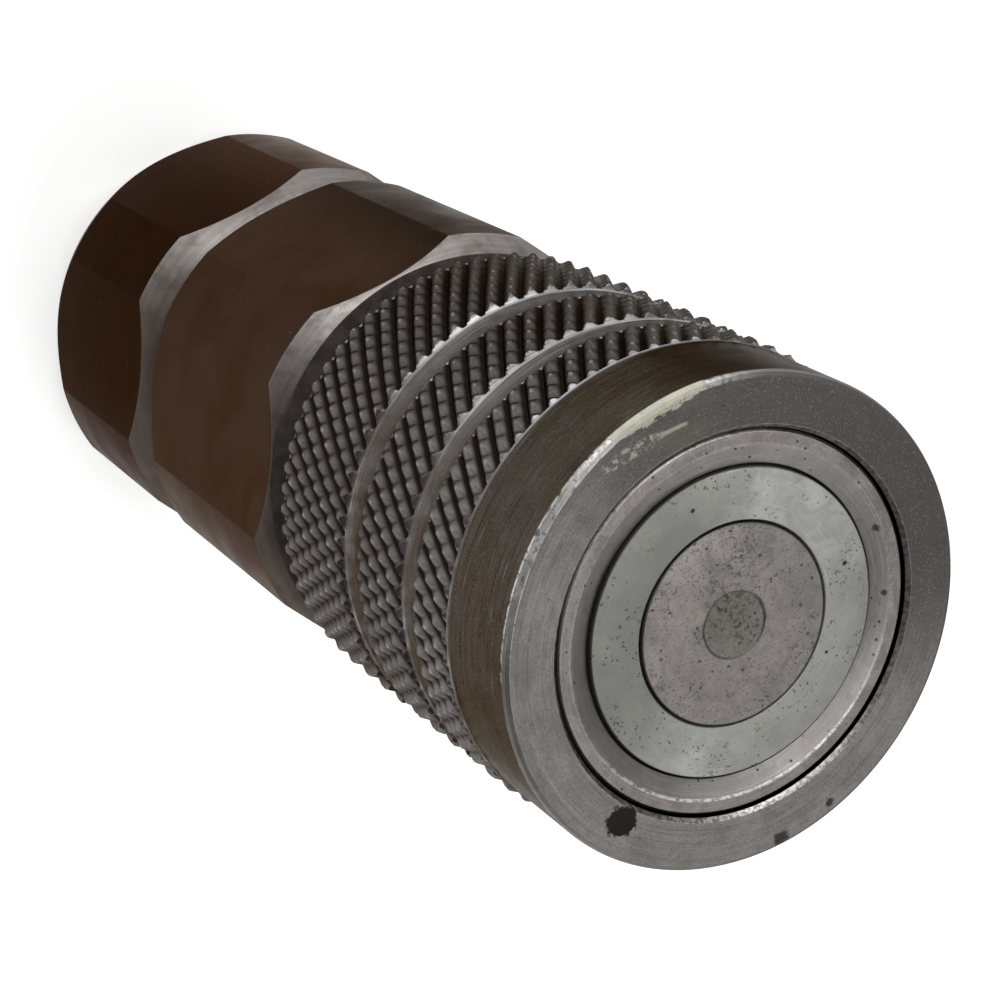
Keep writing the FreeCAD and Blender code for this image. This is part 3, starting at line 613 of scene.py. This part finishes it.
def sleeve_steel():
    n = Net("sleeve_steel_looks")
    att = n.add("ShaderNodeAttribute", attribute_name="knurl")
    h = att.outputs["Fac"]
    smudge = n.noise(n.p, 0.22, 4.0, 0.6, 0.5)
    rings = n.noise(n.lathe_marks(4.0), 1.0, 3.0, 0.65)
    rings2 = n.noise(n.lathe_marks(14.0, 3.0), 1.0, 2.0, 0.7)
    hair = n.noise(n.lathe_marks(9.0, 5.0), 1.0, 1.0, 0.5)
    grain = n.noise(n.p, 3.5, 4.0, 0.65)
    nz = geometry_nz(n)
    # sides: dark oxide with light hair scratches round the axis, and painted shade on the side round azimuth -88
    side = n.mix(n.ramp(smudge, 0.25, 0.75), (0.044, 0.0345, 0.0285), (0.074, 0.063, 0.054))
    side = n.mix(n.ramp(rings2, 0.4, 0.8, 0.0, 0.5), side, (0.085, 0.075, 0.066))
    scratched = n.math("MULTIPLY", n.ramp(hair, 0.66, 0.74), n.ramp(n.noise(n.p, 0.33, 3.0, 0.6), 0.42, 0.62))
    side = n.mix(n.math("MULTIPLY", scratched, 0.75), side, (0.26, 0.25, 0.235))
    tool = n.noise(n.lathe_marks(7.0, 2.0), 1.0, 3.0, 0.75)
    side = n.mix(n.ramp(tool, 0.50, 0.66, 0.0, 0.55), side, (0.016, 0.0125, 0.0095))
    side = n.mix(n.ramp(tool, 0.34, 0.46, 0.40, 0.0), side, (0.105, 0.088, 0.070))
    # fine hair scratches, lightened only in the fan round azimuth -38: real scratches with a painted sheen on them
    fine_hair = n.noise(n.lathe_marks(16.0, 7.0), 1.0, 1.0, 0.5)
    upper_left = n.near_axis_angle(-38.0, 34.0, 30.0)
    fine = n.math("MULTIPLY", n.ramp(fine_hair, 0.62, 0.72), n.math("MULTIPLY", upper_left, n.ramp(n.noise(n.p, 0.5, 3.0, 0.6), 0.40, 0.58)))
    side = n.mix(n.math("MULTIPLY", fine, 0.45), side, (0.20, 0.19, 0.17))
    sparkle = n.noise(n.p, 6.0, 3.0, 0.65)
    side = n.mix(n.ramp(sparkle, 0.54, 0.74, 0.0, 0.5), side, (0.17, 0.16, 0.145))
    side = n.mix(n.ramp(sparkle, 0.28, 0.44, 0.5, 0.0), side, (0.014, 0.011, 0.009))
    olive = n.ramp(n.noise(n.p, 0.30, 3.0, 0.6, 0.3), 0.50, 0.62)
    side = n.mix(n.math("MULTIPLY", n.math("MULTIPLY", olive, upper_left), 0.45), side, (0.055, 0.050, 0.026))
    # painted shade: the sides round azimuth -88 are darkened nearly to black
    side = n.mix(n.math("MULTIPLY", n.near_axis_angle(-88.0, 28.0, 36.0), 0.8), side, (0.012, 0.0115, 0.010))
    # coves, bevels and groove walls: bare turned steel
    bare = n.mix(n.ramp(rings2, 0.35, 0.65), (0.175, 0.173, 0.177), (0.46, 0.455, 0.46))
    bare = n.mix(n.ramp(n.noise(n.p, 0.4, 4.0, 0.6), 0.50, 0.72, 0.0, 0.5), bare, (0.10, 0.09, 0.08))
    up = n.ramp(nz, 0.10, 0.42)
    below = n.ramp(n.z, 91.5, 91.8, 1.0, 0.0)
    groove = n.math("MULTIPLY", n.ramp(n.r, 19.05, 19.12), n.ramp(n.r, 19.24, 19.30, 1.0, 0.0))
    turned_part = n.math("MAXIMUM", up, n.math("MULTIPLY", groove, 0.35))
    # mating face, with painted shade round azimuth -82
    on_face = n.ramp(n.z, 99.35, 99.75)
    face = n.mix(n.ramp(n.noise(n.p, 0.35, 5.0, 0.65, 0.8), 0.3, 0.7), (0.160, 0.153, 0.147), (0.228, 0.217, 0.209))
    face = n.mix(n.ramp(rings2, 0.45, 0.8, 0.0, 0.7), face, (0.275, 0.264, 0.254))
    cut_marks = n.noise(n.lathe_marks(6.5, 0.7), 1.0, 2.0, 0.7)
    face = n.mix(n.ramp(cut_marks, 0.52, 0.72, 0.0, 0.55), face, (0.115, 0.108, 0.102))
    face = n.mix(n.ramp(cut_marks, 0.30, 0.42, 0.45, 0.0), face, (0.30, 0.29, 0.28))
    # painted shade: the face round azimuth -82 is darkened
    face = n.mix(n.math("MULTIPLY", n.near_axis_angle(-82.0, 48.0, 52.0), 0.87), face, (0.066, 0.060, 0.056))
    speckle = n.noise(n.p, 7.0, 2.0, 0.6)
    face = n.mix(n.ramp(speckle, 0.50, 0.72, 0.0, 0.45), face, (0.085, 0.078, 0.072))
    face = n.mix(n.ramp(speckle, 0.28, 0.44, 0.40, 0.0), face, (0.32, 0.305, 0.295))
    film = n.math("MULTIPLY", n.ramp(n.noise(n.vec(n.math("MULTIPLY", n.r, 0.7), n.math("MULTIPLY", n.c, 3.0), n.math("MULTIPLY", n.s, 3.0)), 1.0, 4.0, 0.65), 0.46, 0.62), n.near_axis_angle(15.0, 45.0, 30.0))
    face = n.mix(n.math("MULTIPLY", film, 0.45), face, (0.125, 0.120, 0.095))
    # knurl: darker towards the roots, polished crowns
    flank = n.mix(n.ramp(h, 0.18, 0.72), (0.0120, 0.0090, 0.0076), (0.112, 0.103, 0.097))
    flank = n.mix(n.math("MULTIPLY", n.ramp(n.z, 73.0, 90.0), n.ramp(h, 0.25, 0.6, 0.0, 0.55)), flank, (0.17, 0.165, 0.16))
    # painted shade: the knurl flanks round azimuth -75 are darkened
    flank = n.mix(n.math("MULTIPLY", n.near_axis_angle(-75.0, 35.0, 45.0), 0.55), flank, (0.028, 0.0255, 0.024))
    crown = n.math("MULTIPLY", n.ramp(h, 0.74, 0.88), n.ramp(n.noise(n.p, 1.1, 3.0, 0.6), 0.44, 0.60))
    flank = n.mix(n.math("MULTIPLY", crown, 0.55), flank, (0.30, 0.29, 0.28))
    att2 = n.add("ShaderNodeAttribute", attribute_name="cut")
    cut = att2.outputs["Fac"]
    # painted reflection: a brown tint on the bare cut faces and groove walls in a fan round azimuth 48
    brown = n.math("MULTIPLY", n.near_axis_angle(48.0, 34.0, 30.0), n.ramp(n.noise(n.p, 0.35, 4.0, 0.65), 0.35, 0.6, 0.45, 0.9))
    low = n.mix(turned_part, side, n.mix(brown, bare, (0.085, 0.066, 0.056)))
    low = n.mix(cut, low, flank)
    col = n.mix(on_face, n.mix(below, side, low), face)
    bevel = n.math("MULTIPLY", n.ramp(n.z, 99.48, 99.53), n.ramp(n.r, 15.49, 15.55, 1.0, 0.0))
    glint = n.ramp(n.noise(n.p, 2.6, 4.0, 0.7), 0.42, 0.58)
    col = n.mix(bevel, col, n.mix(glint, (0.21, 0.20, 0.195), (0.43, 0.415, 0.405)))
    # painted highlight: a bright spot on the inner bevel round azimuth 125
    col = n.mix(n.math("MULTIPLY", n.math("MULTIPLY", bevel, glint), n.near_axis_angle(125.0, 12.0, 18.0)), col, (0.60, 0.59, 0.58))
    # painted shade: the sleeve bore just behind the face, in the gap beside the nose, is darkened nearly to black
    gap_shade = n.math("MULTIPLY", n.ramp(n.z, 98.9, 99.0), n.ramp(n.z, 99.54, 99.59, 1.0, 0.0))
    gap_shade = n.math("MULTIPLY", gap_shade, n.ramp(n.r, 15.6, 15.7, 1.0, 0.0))
    col = n.mix(gap_shade, col, (0.008, 0.007, 0.007))
    corner = n.math("MULTIPLY", n.math("MULTIPLY", n.ramp(n.r, 19.00, 19.12), n.ramp(n.z, 99.40, 99.56)), n.ramp(nz, 0.15, 0.4))
    col = n.mix(n.math("MULTIPLY", corner, 0.8), col, (0.30, 0.29, 0.28))
    # worn front corner
    edge = n.math("MULTIPLY", n.ramp(n.r, 18.94, 19.06), n.ramp(n.z, 99.20, 99.50))
    wear = n.near_axis_angle(-8.0, 24.0, 26.0)
    ragged = n.ramp(n.noise(n.p, 1.6, 4.0, 0.7), 0.36, 0.54)
    col = n.mix(n.math("MULTIPLY", n.math("MULTIPLY", edge, wear), ragged), col, (0.62, 0.61, 0.59))
    thin = n.math("MULTIPLY", edge, n.math("MULTIPLY", n.near_axis_angle(60.0, 70.0, 30.0), n.ramp(n.noise(n.p, 0.8, 3.0, 0.6), 0.45, 0.6)))
    col = n.mix(n.math("MULTIPLY", thin, 0.5), col, (0.34, 0.32, 0.30))
    # pale rubbed patches near the corner
    patch_n = n.noise(n.vec(n.math("MULTIPLY", n.r, 1.6), n.math("MULTIPLY", n.c, 12.0), n.math("MULTIPLY", n.s, 12.0)), 1.0, 5.0, 0.72, 0.3)
    fan = n.near_axis_angle(-30.5, 1.0, 13.0)
    depth = n.math("ADD", n.math("ADD", n.r, n.math("MULTIPLY", fan, 0.62)), n.math("MULTIPLY", n.math("SUBTRACT", patch_n, 0.5), 1.3))
    outer = n.math("MULTIPLY", n.ramp(depth, 19.22, 19.30), n.ramp(n.z, 99.15, 99.4))
    holes = n.math("MAXIMUM", n.ramp(n.noise(n.p, 2.2, 4.0, 0.7), 0.36, 0.42), n.ramp(depth, 19.5, 19.8, 0.0, 0.9))
    patch = n.math("MULTIPLY", n.math("MULTIPLY", n.ramp(n.math("ADD", fan, n.math("MULTIPLY", n.math("SUBTRACT", patch_n, 0.5), 0.5)), 0.10, 0.18), outer), holes)
    along = n.math("ADD", n.math("MULTIPLY", n.x, -0.5406), n.math("MULTIPLY", n.y, -0.8413))
    across = n.math("ADD", n.math("MULTIPLY", n.x, 0.8413), n.math("MULTIPLY", n.y, -0.5406))
    bow = n.math("SUBTRACT", 17.25, n.math("MULTIPLY", n.math("MULTIPLY", n.math("ADD", along, 2.2), n.math("ADD", along, 2.2)), 0.016))
    off = n.math("ABSOLUTE", n.math("SUBTRACT", across, bow))
    width = n.ramp(along, -2.6, -0.6, 0.48, 0.13)
    line = n.ramp(n.math("SUBTRACT", off, width), -0.12, 0.12, 1.0, 0.0)
    ends = n.math("MULTIPLY", n.ramp(along, -6.6, -5.6), n.ramp(along, 0.75, 1.15, 1.0, 0.0))
    broken = n.math("MAXIMUM", n.ramp(n.noise(n.p, 1.4, 4.0, 0.7), 0.47, 0.56), n.ramp(along, -1.8, -0.8))
    patch2 = n.math("MULTIPLY", n.math("MULTIPLY", line, ends), n.math("MULTIPLY", broken, on_face))
    pale = n.math("MAXIMUM", patch, n.math("MULTIPLY", patch2, 0.62))
    tone = n.mix(n.ramp(n.noise(n.p, 0.8, 3.0, 0.6), 0.4, 0.6), (0.50, 0.50, 0.44), (0.58, 0.56, 0.44))
    col = n.mix(n.math("MULTIPLY", pale, 0.92), col, tone)
    # grime spots
    s1 = n.math("MULTIPLY", n.spot(-0.55, 16.7, 1.25, 1.7), on_face)
    s2 = n.math("MULTIPLY", n.spot(-16.85, 7.4, 0.35, 0.5), on_face)
    s3 = n.math("MULTIPLY", n.spot(-14.65, 11.7, 0.6, 1.0, 0.5), n.ramp(n.z, 99.2, 99.6))
    specks = n.math("MULTIPLY", n.ramp(n.noise(n.p, 2.2, 2.0, 0.5), 0.74, 0.78), on_face)
    grime = n.math("MAXIMUM", n.math("MAXIMUM", s1, n.math("MULTIPLY", s2, 0.8)), n.math("MAXIMUM", n.math("MULTIPLY", s3, 0.8), n.math("MULTIPLY", specks, 0.6)))
    col = n.mix(grime, col, (0.014, 0.013, 0.011))
    rough = n.math("ADD", n.ramp(smudge, 0.3, 0.7, 0.30, 0.42), n.math("MULTIPLY", n.math("SUBTRACT", grain, 0.5), 0.2))
    rough = n.math("ADD", rough, n.math("MULTIPLY", n.math("MAXIMUM", grime, n.math("MULTIPLY", pale, 0.6)), 0.4), clamp=True)
    metal = n.math("SUBTRACT", 1.0, n.math("MULTIPLY", n.math("MAXIMUM", grime, pale), 0.85))
    b = n.bump(grain, 0.012, 0.6)
    b = n.bump(rings2, 0.010, 0.6, b)
    b = n.bump(n.math("MULTIPLY", hair, -1.0), 0.02, 0.5, b)
    b = n.bump(n.math("SUBTRACT", pale, n.math("MULTIPLY", s1, 2.0)), 0.05, 0.6, b)
    n.bsdf.inputs["Specular Tint"].default_value = (0.42, 0.395, 0.37, 1.0)
    return n.finish(col, rough, metal, b)


def nose_steel():
    """Body: browned hex behind, grey ring on the mating face, with painted shade, painted light and painted highlights.
    """
    n = Net("body_steel_looks")
    col, rough, cham, rings, pits = hex_base(n)
    # painted light: the shaded neck and the hex front face are lightened to a dull brown and made mostly non-metallic
    neck = n.math("MULTIPLY", n.ramp(n.r, 18.82, 18.86, 1.0, 0.0), n.math("MULTIPLY", n.ramp(n.z, 56.6, 56.66), n.ramp(n.z, 69.0, 70.0, 1.0, 0.0)))
    neck_fill_light = n.mix(n.ramp(n.noise(n.p, 0.6, 4.0, 0.65), 0.35, 0.65), (0.10, 0.085, 0.072), (0.17, 0.148, 0.130))
    col = n.mix(neck, col, neck_fill_light)
    ring = n.ramp(n.z, 97.0, 98.0)
    face = n.mix(n.ramp(n.noise(n.p, 0.5, 5.0, 0.7, 0.6), 0.3, 0.7), (0.170, 0.158, 0.151), (0.262, 0.246, 0.236))
    stain = n.math("MULTIPLY", n.ramp(n.noise(n.p, 0.9, 4.0, 0.7), 0.56, 0.66), n.math("MAXIMUM", n.near_axis_angle(-125.0, 22.0, 22.0), n.near_axis_angle(8.0, 16.0, 16.0)))
    face = n.mix(n.math("MULTIPLY", stain, 0.6), face, (0.13, 0.085, 0.075))
    speckle = n.noise(n.p, 7.0, 2.0, 0.6)
    face = n.mix(n.ramp(speckle, 0.5, 0.72, 0.0, 0.4), face, (0.14, 0.12, 0.11))
    face = n.mix(n.ramp(speckle, 0.28, 0.42, 0.35, 0.0), face, (0.45, 0.43, 0.42))
    # painted highlight: a near-white line on the nose's outer chamfer in a fan round azimuth -38
    nose_highlight = n.math("MULTIPLY", n.ramp(n.r, 14.79, 14.84), n.near_axis_angle(-38.0, 38.0, 40.0))
    face = n.mix(n.math("MULTIPLY", nose_highlight, n.ramp(n.noise(n.p, 1.6, 3.0, 0.6), 0.30, 0.50, 0.4, 1.0)), face, (0.88, 0.86, 0.85))
    lead = n.ramp(n.r, 13.75, 13.95, 1.0, 0.0)
    face = n.mix(n.math("MULTIPLY", lead, 0.5), face, (0.25, 0.238, 0.230))
    # a light line at the outer edge of the inner chamfer: wear all round, and a painted highlight strongest round
    # azimuth 132
    rim = n.math("MULTIPLY", n.math("MULTIPLY", n.ramp(n.r, 13.70, 13.78), n.ramp(n.r, 13.96, 14.03, 1.0, 0.0)), n.ramp(n.noise(n.p, 2.6, 4.0, 0.7), 0.40, 0.56))
    face = n.mix(n.math("MULTIPLY", rim, n.math("MAXIMUM", n.near_axis_angle(132.0, 30.0, 40.0), 0.15)), face, (0.56, 0.545, 0.53))
    face = n.mix(n.ramp(n.noise(n.lathe_marks(9.0, 2.0), 1.0, 2.0, 0.6), 0.5, 0.8, 0.0, 0.5), face, (0.43, 0.41, 0.40))
    specks = n.math("MULTIPLY", n.ramp(n.cells(n.p, 1.3), 0.10, 0.17, 1.0, 0.0), n.ramp(n.noise(n.p, 0.5, 2.0, 0.5), 0.45, 0.6))
    spots = n.math("MAXIMUM", specks, n.math("MAXIMUM", n.spot(-6.35, -11.9, 0.30, 0.6), n.spot(-10.55, -8.2, 0.2, 0.4)))
    face = n.mix(n.math("MULTIPLY", spots, 0.85), face, (0.03, 0.025, 0.02))
    col = n.mix(ring, col, face)
    b = n.bump(n.noise(n.p, 0.9, 3.0, 0.5), 0.02, 0.5)
    b = n.bump(n.math("MULTIPLY", rings, n.math("MAXIMUM", cham, ring)), 0.012, 0.6, b)
    b = n.bump(n.math("MULTIPLY", spots, -1.0), 0.04, 0.6, b)
    n.bsdf.inputs["Specular Tint"].default_value = (0.50, 0.455, 0.43, 1.0)
    return n.finish(col, rough, n.math("SUBTRACT", 1.0, n.math("MULTIPLY", neck, 0.8)), b)


def zinc():
    n = Net("zinc_looks")
    cloud = n.noise(n.p, 0.4, 5.0, 0.65, 0.5)
    fine = n.noise(n.p, 2.5, 4.0, 0.7)
    rings = n.noise(n.lathe_marks(9.0, 2.0), 1.0, 1.0, 0.5)
    col = n.mix(n.ramp(cloud, 0.3, 0.7), (0.300, 0.308, 0.288), (0.430, 0.437, 0.415))
    col = n.mix(n.math("MULTIPLY", n.ramp(rings, 0.66, 0.74), 0.6), col, (0.60, 0.61, 0.59))
    # painted shade: the zinc is darkened in fans round azimuth 22 and 180
    col = n.mix(n.math("MULTIPLY", n.near_axis_angle(22.0, 38.0, 50.0), 0.85), col, (0.180, 0.184, 0.168))
    col = n.mix(n.math("MULTIPLY", n.near_axis_angle(180.0, 35.0, 45.0), 0.55), col, (0.230, 0.234, 0.214))
    col = n.mix(n.ramp(n.noise(n.p, 0.22, 3.0, 0.6), 0.5, 0.75, 0.0, 0.35), col, (0.30, 0.29, 0.25))
    field = n.ramp(n.noise(n.p, 0.3, 2.0, 0.5), 0.42, 0.60)
    pits = n.math("MULTIPLY", n.ramp(n.noise(n.p, 1.9, 5.0, 0.75), 0.60, 0.70), field)
    specks = n.math("MULTIPLY", n.ramp(n.cells(n.p, 2.1), 0.10, 0.18, 1.0, 0.0), field)
    col = n.mix(n.math("MULTIPLY", pits, 0.6), col, (0.12, 0.11, 0.09))
    dots = n.math("MAXIMUM", n.spot(-5.8, -8.4, 0.2, 0.3, 0.15), n.math("MAXIMUM", n.spot(8.8, -5.2, 0.14, 0.2, 0.12), n.spot(-9.0, -2.1, 0.12, 0.2, 0.1)))
    dots = n.math("MAXIMUM", dots, n.math("MULTIPLY", specks, 0.8))
    col = n.mix(dots, col, (0.03, 0.028, 0.022))
    rough = n.math("ADD", 0.44, n.math("MULTIPLY", n.math("SUBTRACT", fine, 0.5), 0.25))
    b = n.bump(fine, 0.02, 0.6)
    b = n.bump(n.math("MULTIPLY", n.math("ADD", pits, dots), -1.0), 0.05, 0.7, b)
    b = n.bump(rings, 0.012, 0.5, b)
    return n.finish(col, rough, 0.9, b)


def stem_steel():
    n = Net("stem_looks_steel")
    cloud = n.noise(n.p, 0.35, 5.0, 0.65, 0.8)
    fine = n.noise(n.p, 3.0, 4.0, 0.7)
    col = n.mix(n.ramp(cloud, 0.3, 0.7), (0.186, 0.173, 0.162), (0.264, 0.247, 0.233))
    grey = n.ramp(n.noise(n.p, 1.1, 6.0, 0.75, 0.4), 0.52, 0.66)
    blot = n.math("MAXIMUM", n.spot(1.2, -2.0, 3.4, 6.0, 4.0), n.math("MULTIPLY", n.spot(3.5, -4.5, 2.0, 4.0, 3.0), 0.7))
    col = n.mix(n.math("MULTIPLY", grey, n.math("ADD", 0.25, n.math("MULTIPLY", blot, 0.5))), col, (0.10, 0.09, 0.08))
    mark = n.ramp(n.r, 2.55, 2.8, 1.0, 0.0)
    col = n.mix(n.math("MULTIPLY", mark, 0.55), col, (0.125, 0.118, 0.100))
    scrub = n.math("MULTIPLY", n.ramp(n.noise(n.p, 1.7, 5.0, 0.75, 1.2), 0.50, 0.60), n.math("MAXIMUM", n.spot(0.9, -0.7, 2.2, 3.0, 2.0), n.math("MULTIPLY", n.spot(2.6, -3.9, 1.6, 3.0, 2.0), 0.7)))
    col = n.mix(n.math("MULTIPLY", scrub, 0.8), col, (0.040, 0.036, 0.028))
    rim = n.math("MULTIPLY", n.ramp(n.r, 2.50, 2.66), n.ramp(n.r, 2.78, 2.95, 1.0, 0.0))
    col = n.mix(n.math("MULTIPLY", rim, n.ramp(n.noise(n.p, 0.8, 2.0, 0.5), 0.45, 0.65, 0.0, 0.5)), col, (0.10, 0.085, 0.075))
    pit_field = n.ramp(n.noise(n.p, 0.42, 3.0, 0.6), 0.47, 0.62)
    pits = n.math("MULTIPLY", n.ramp(n.noise(n.p, 2.6, 5.0, 0.75), 0.56, 0.68), pit_field)
    d1 = n.ramp(n.cells(n.p, 0.8), 0.07, 0.12, 1.0, 0.0)
    d2 = n.math("MULTIPLY", n.ramp(n.cells(n.p, 2.3), 0.12, 0.20, 1.0, 0.0), pit_field)
    d3 = n.math("MULTIPLY", n.ramp(n.cells(n.p, 4.0), 0.16, 0.26, 1.0, 0.0), 0.45)
    dots = n.math("MAXIMUM", d1, n.math("MAXIMUM", n.math("MULTIPLY", d2, 0.85), d3))
    col = n.mix(n.math("MULTIPLY", pits, 0.55), col, (0.085, 0.075, 0.065))
    col = n.mix(n.math("MULTIPLY", dots, 0.75), col, (0.045, 0.040, 0.035))
    worms = n.math("MULTIPLY", n.ramp(n.math("ABSOLUTE", n.math("SUBTRACT", n.noise(n.p, 0.9, 3.0, 0.6, 1.5), 0.5)), 0.0, 0.012, 1.0, 0.0), n.ramp(cloud, 0.45, 0.65))
    col = n.mix(n.math("MULTIPLY", worms, 0.35), col, (0.42, 0.39, 0.37))
    rough = n.math("ADD", 0.40, n.math("MULTIPLY", n.math("SUBTRACT", fine, 0.5), 0.3))
    b = n.bump(fine, 0.015, 0.6)
    b = n.bump(n.math("MULTIPLY", n.math("MAXIMUM", pits, dots), -1.0), 0.04, 0.8, b)
    return n.finish(col, rough, 0.95, b)


def plain_steel(name, a, c, rough0, across=6.0):
    n = Net(name)
    rings = n.noise(n.lathe_marks(across), 1.0, 3.0, 0.6)
    cloud = n.noise(n.p, 0.5, 4.0, 0.6)
    col = n.mix(n.ramp(cloud, 0.3, 0.7), a, c)
    col = n.mix(n.math("MULTIPLY", n.ramp(rings, 0.55, 0.8), 0.3), col, tuple(min(1.0, v * 1.4) for v in c))
    rough = n.math("ADD", rough0, n.math("MULTIPLY", n.math("SUBTRACT", cloud, 0.5), 0.2))
    b = n.bump(rings, 0.01, 0.6)
    return n.finish(col, rough, 1.0, b)


def rubber():
    n = Net("rubber_looks")
    fine = n.noise(n.p, 6.0, 4.0, 0.6)
    cloud = n.noise(n.p, 0.6, 3.0, 0.6)
    col = n.mix(n.ramp(cloud, 0.3, 0.7), (0.014, 0.014, 0.014), (0.030, 0.030, 0.029))
    rough = n.ramp(fine, 0.2, 0.8, 0.38, 0.62)
    return n.finish(col, rough, 0.0, n.bump(fine, 0.01, 0.5))


def plastic():
    n = Net("backup_looks")
    fine = n.noise(n.p, 5.0, 4.0, 0.6)
    cloud = n.noise(n.p, 0.7, 3.0, 0.6)
    col = n.mix(n.ramp(cloud, 0.3, 0.7), (0.58, 0.56, 0.50), (0.72, 0.70, 0.64))
    return n.finish(col, n.ramp(fine, 0.2, 0.8, 0.40, 0.58), 0.0, n.bump(fine, 0.01, 0.4))


M_BODY = nose_steel()
M_HEX = hex_steel()
M_SLEEVE = sleeve_steel()
M_ZINC = zinc()
M_STEM = stem_steel()
M_SPRING = plain_steel("spring_looks", (0.20, 0.20, 0.205), (0.33, 0.33, 0.34), 0.32, 2.0)
M_PLAIN = plain_steel("plain_looks", (0.30, 0.30, 0.305), (0.42, 0.42, 0.43), 0.36)
M_BALL = plain_steel("ball_looks", (0.55, 0.55, 0.56), (0.62, 0.62, 0.63), 0.12, 0.5)
M_RUBBER = rubber()
M_PLASTIC = plastic()


def wear(ob, mat):
    ob.data.materials.clear()
    ob.data.materials.append(mat)


for ob, mat, node, rides, slot in (
        (body, M_BODY, "front_body", "coupler_body", "body_steel"),
        (adapter, M_HEX, "port_adapter", "coupler_body", "body_steel"),
        (sleeve, M_SLEEVE, "locking_sleeve", "sleeve", "sleeve_steel"),
        (shut, M_ZINC, "shutoff_sleeve", "shutoff", "shutoff_zinc"),
        (stem, M_STEM, "valve_stem", "coupler_body", "stem_steel")):
    wear(ob, mat)
    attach(ob, rides)
    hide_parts(node)

for name, mat in (
        ("sleeve_stop_ring", M_SPRING), ("sleeve_thrust_washer", M_PLAIN), ("sleeve_spring_seat", M_PLAIN),
        ("shutoff_spring_seat", M_PLAIN),
        ("locking_balls", M_BALL), ("stem_holder", M_PLAIN), ("stem_lock_washer", M_SPRING), ("stem_nut", M_PLAIN),
        ("probe_oring", M_RUBBER), ("stem_seal", M_RUBBER), ("adapter_oring", M_RUBBER),
        ("probe_backup_ring", M_PLASTIC), ("adapter_backup_ring", M_PLASTIC)):
    ob = nodes[name]
    for s in ob.material_slots:
        s.material = mat

# Each spring is drawn as a copy of its part's mesh, riding on the coupler body.
for name, joint in (("sleeve_spring", "sleeve_slide"), ("shutoff_spring", "shutoff_slide")):
    coil = bpy.data.objects.new(name + "_looks", nodes[name].data.copy())
    scene_root = bpy.context.scene.collection
    scene_root.objects.link(coil)
    wear(coil, M_SPRING)
    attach(coil, "coupler_body")
    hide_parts(name)
    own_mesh(coil)

# ---------------------------------------------------------------- floor, light, camera


def floor_material():
    n = Net("pale_floor")
    soft = n.noise(n.p, 0.01, 3.0, 0.5)
    col = n.mix(n.ramp(soft, 0.3, 0.7), (0.86, 0.86, 0.86), (0.90, 0.90, 0.90))
    # painted light: the floor glows, most within 230 mm of the axis and towards +y
    n.bsdf.inputs["Emission Color"].default_value = (1.0, 1.0, 1.0, 1.0)
    floor_glow = n.math("MULTIPLY", n.ramp(n.r, 230.0, 700.0, 1.0, 0.0), n.ramp(n.y, -60.0, 90.0, 0.44, 0.85))
    n.put(floor_glow, n.bsdf.inputs["Emission Strength"])
    return n.finish(col, 0.7, 0.0)


bpy.ops.mesh.primitive_plane_add(size=6.0, location=(0, 0, 0))
floor = bpy.context.object
floor.name = "floor"
floor.data.materials.append(floor_material())

scene = bpy.context.scene
scene.view_settings.view_transform = "Standard"
world = bpy.data.worlds.new("studio")
scene.world = world
world.use_nodes = True
wt = world.node_tree
bg = wt.nodes["Background"]
tc = wt.nodes.new("ShaderNodeTexCoord")


def unit(az, el):
    a, e = math.radians(az), math.radians(el)
    return Vector((math.cos(a) * math.cos(e), math.sin(a) * math.cos(e), math.sin(e)))


def world_lobe(az, el, inner, outer, amount):
    dot = wt.nodes.new("ShaderNodeVectorMath")
    dot.operation = "DOT_PRODUCT"
    dot.inputs[1].default_value = unit(az, el)
    wt.links.new(tc.outputs["Generated"], dot.inputs[0])
    m = wt.nodes.new("ShaderNodeMapRange")
    m.interpolation_type = "SMOOTHSTEP"
    m.inputs[1].default_value = math.cos(math.radians(outer))
    m.inputs[2].default_value = math.cos(math.radians(inner))
    m.inputs[3].default_value = 0.0
    m.inputs[4].default_value = amount
    wt.links.new(dot.outputs["Value"], m.inputs[0])
    return m.outputs[0]


def world_sum(parts, base):
    total = None
    for p in parts:
        a = wt.nodes.new("ShaderNodeMath")
        a.operation = "ADD"
        if total is None:
            a.inputs[0].default_value = base
        else:
            wt.links.new(total, a.inputs[0])
        wt.links.new(p, a.inputs[1])
        total = a.outputs[0]
    return total


wt.links.new(world_sum([world_lobe(156, 40, 8, 38, 0.85), world_lobe(-145, 40, 10, 36, 0.25), world_lobe(5, 24, 8, 34, 0.22), world_lobe(150, 84, 5, 24, 0.20), world_lobe(172, 14, 8, 30, 0.32), world_lobe(-88, 18, 8, 30, 0.30)], 0.14), bg.inputs[1])
bg.inputs[0].default_value = (1, 0.99, 0.98, 1)


def softbox(name, az, el, distance, size_x, size_y, radiance, colour=(1, 1, 1), target=(0, 0, 0.06)):
    data = bpy.data.lights.new(name, "AREA")
    data.shape = "RECTANGLE"
    data.size, data.size_y = size_x, size_y
    data.energy = radiance * math.pi * size_x * size_y
    data.color = colour
    ob = bpy.data.objects.new(name, data)
    scene.collection.objects.link(ob)
    ob.location = Vector(target) + unit(az, el) * distance
    ob.rotation_euler = (Vector(target) - ob.location).to_track_quat("-Z", "Y").to_euler()
    return ob


softbox("window", -48, 19, 1.1, 1.35, 0.85, 2.1)
softbox("overhead", -122, 76, 1.0, 0.70, 0.70, 1.8)

CAM = Matrix((
    (-0.702234, 0.454396, 0.548080, 0.1175611),
    (-0.538494, -0.842586, 0.008610, 0.0031412),
    (0.465717, -0.289091, 0.836382, 0.2435438),
    (0, 0, 0, 1)))
cam_data = bpy.data.cameras.new("camera")
cam_data.sensor_width = 36.0
cam_data.lens = 36.0 * 2.516
cam_data.clip_start = 0.01
camera = bpy.data.objects.new("camera", cam_data)
scene.collection.objects.link(camera)
camera.matrix_world = CAM @ Matrix.Rotation(0.00091, 4, "Y") @ Matrix.Rotation(0.00060, 4, "X")
scene.camera = camera
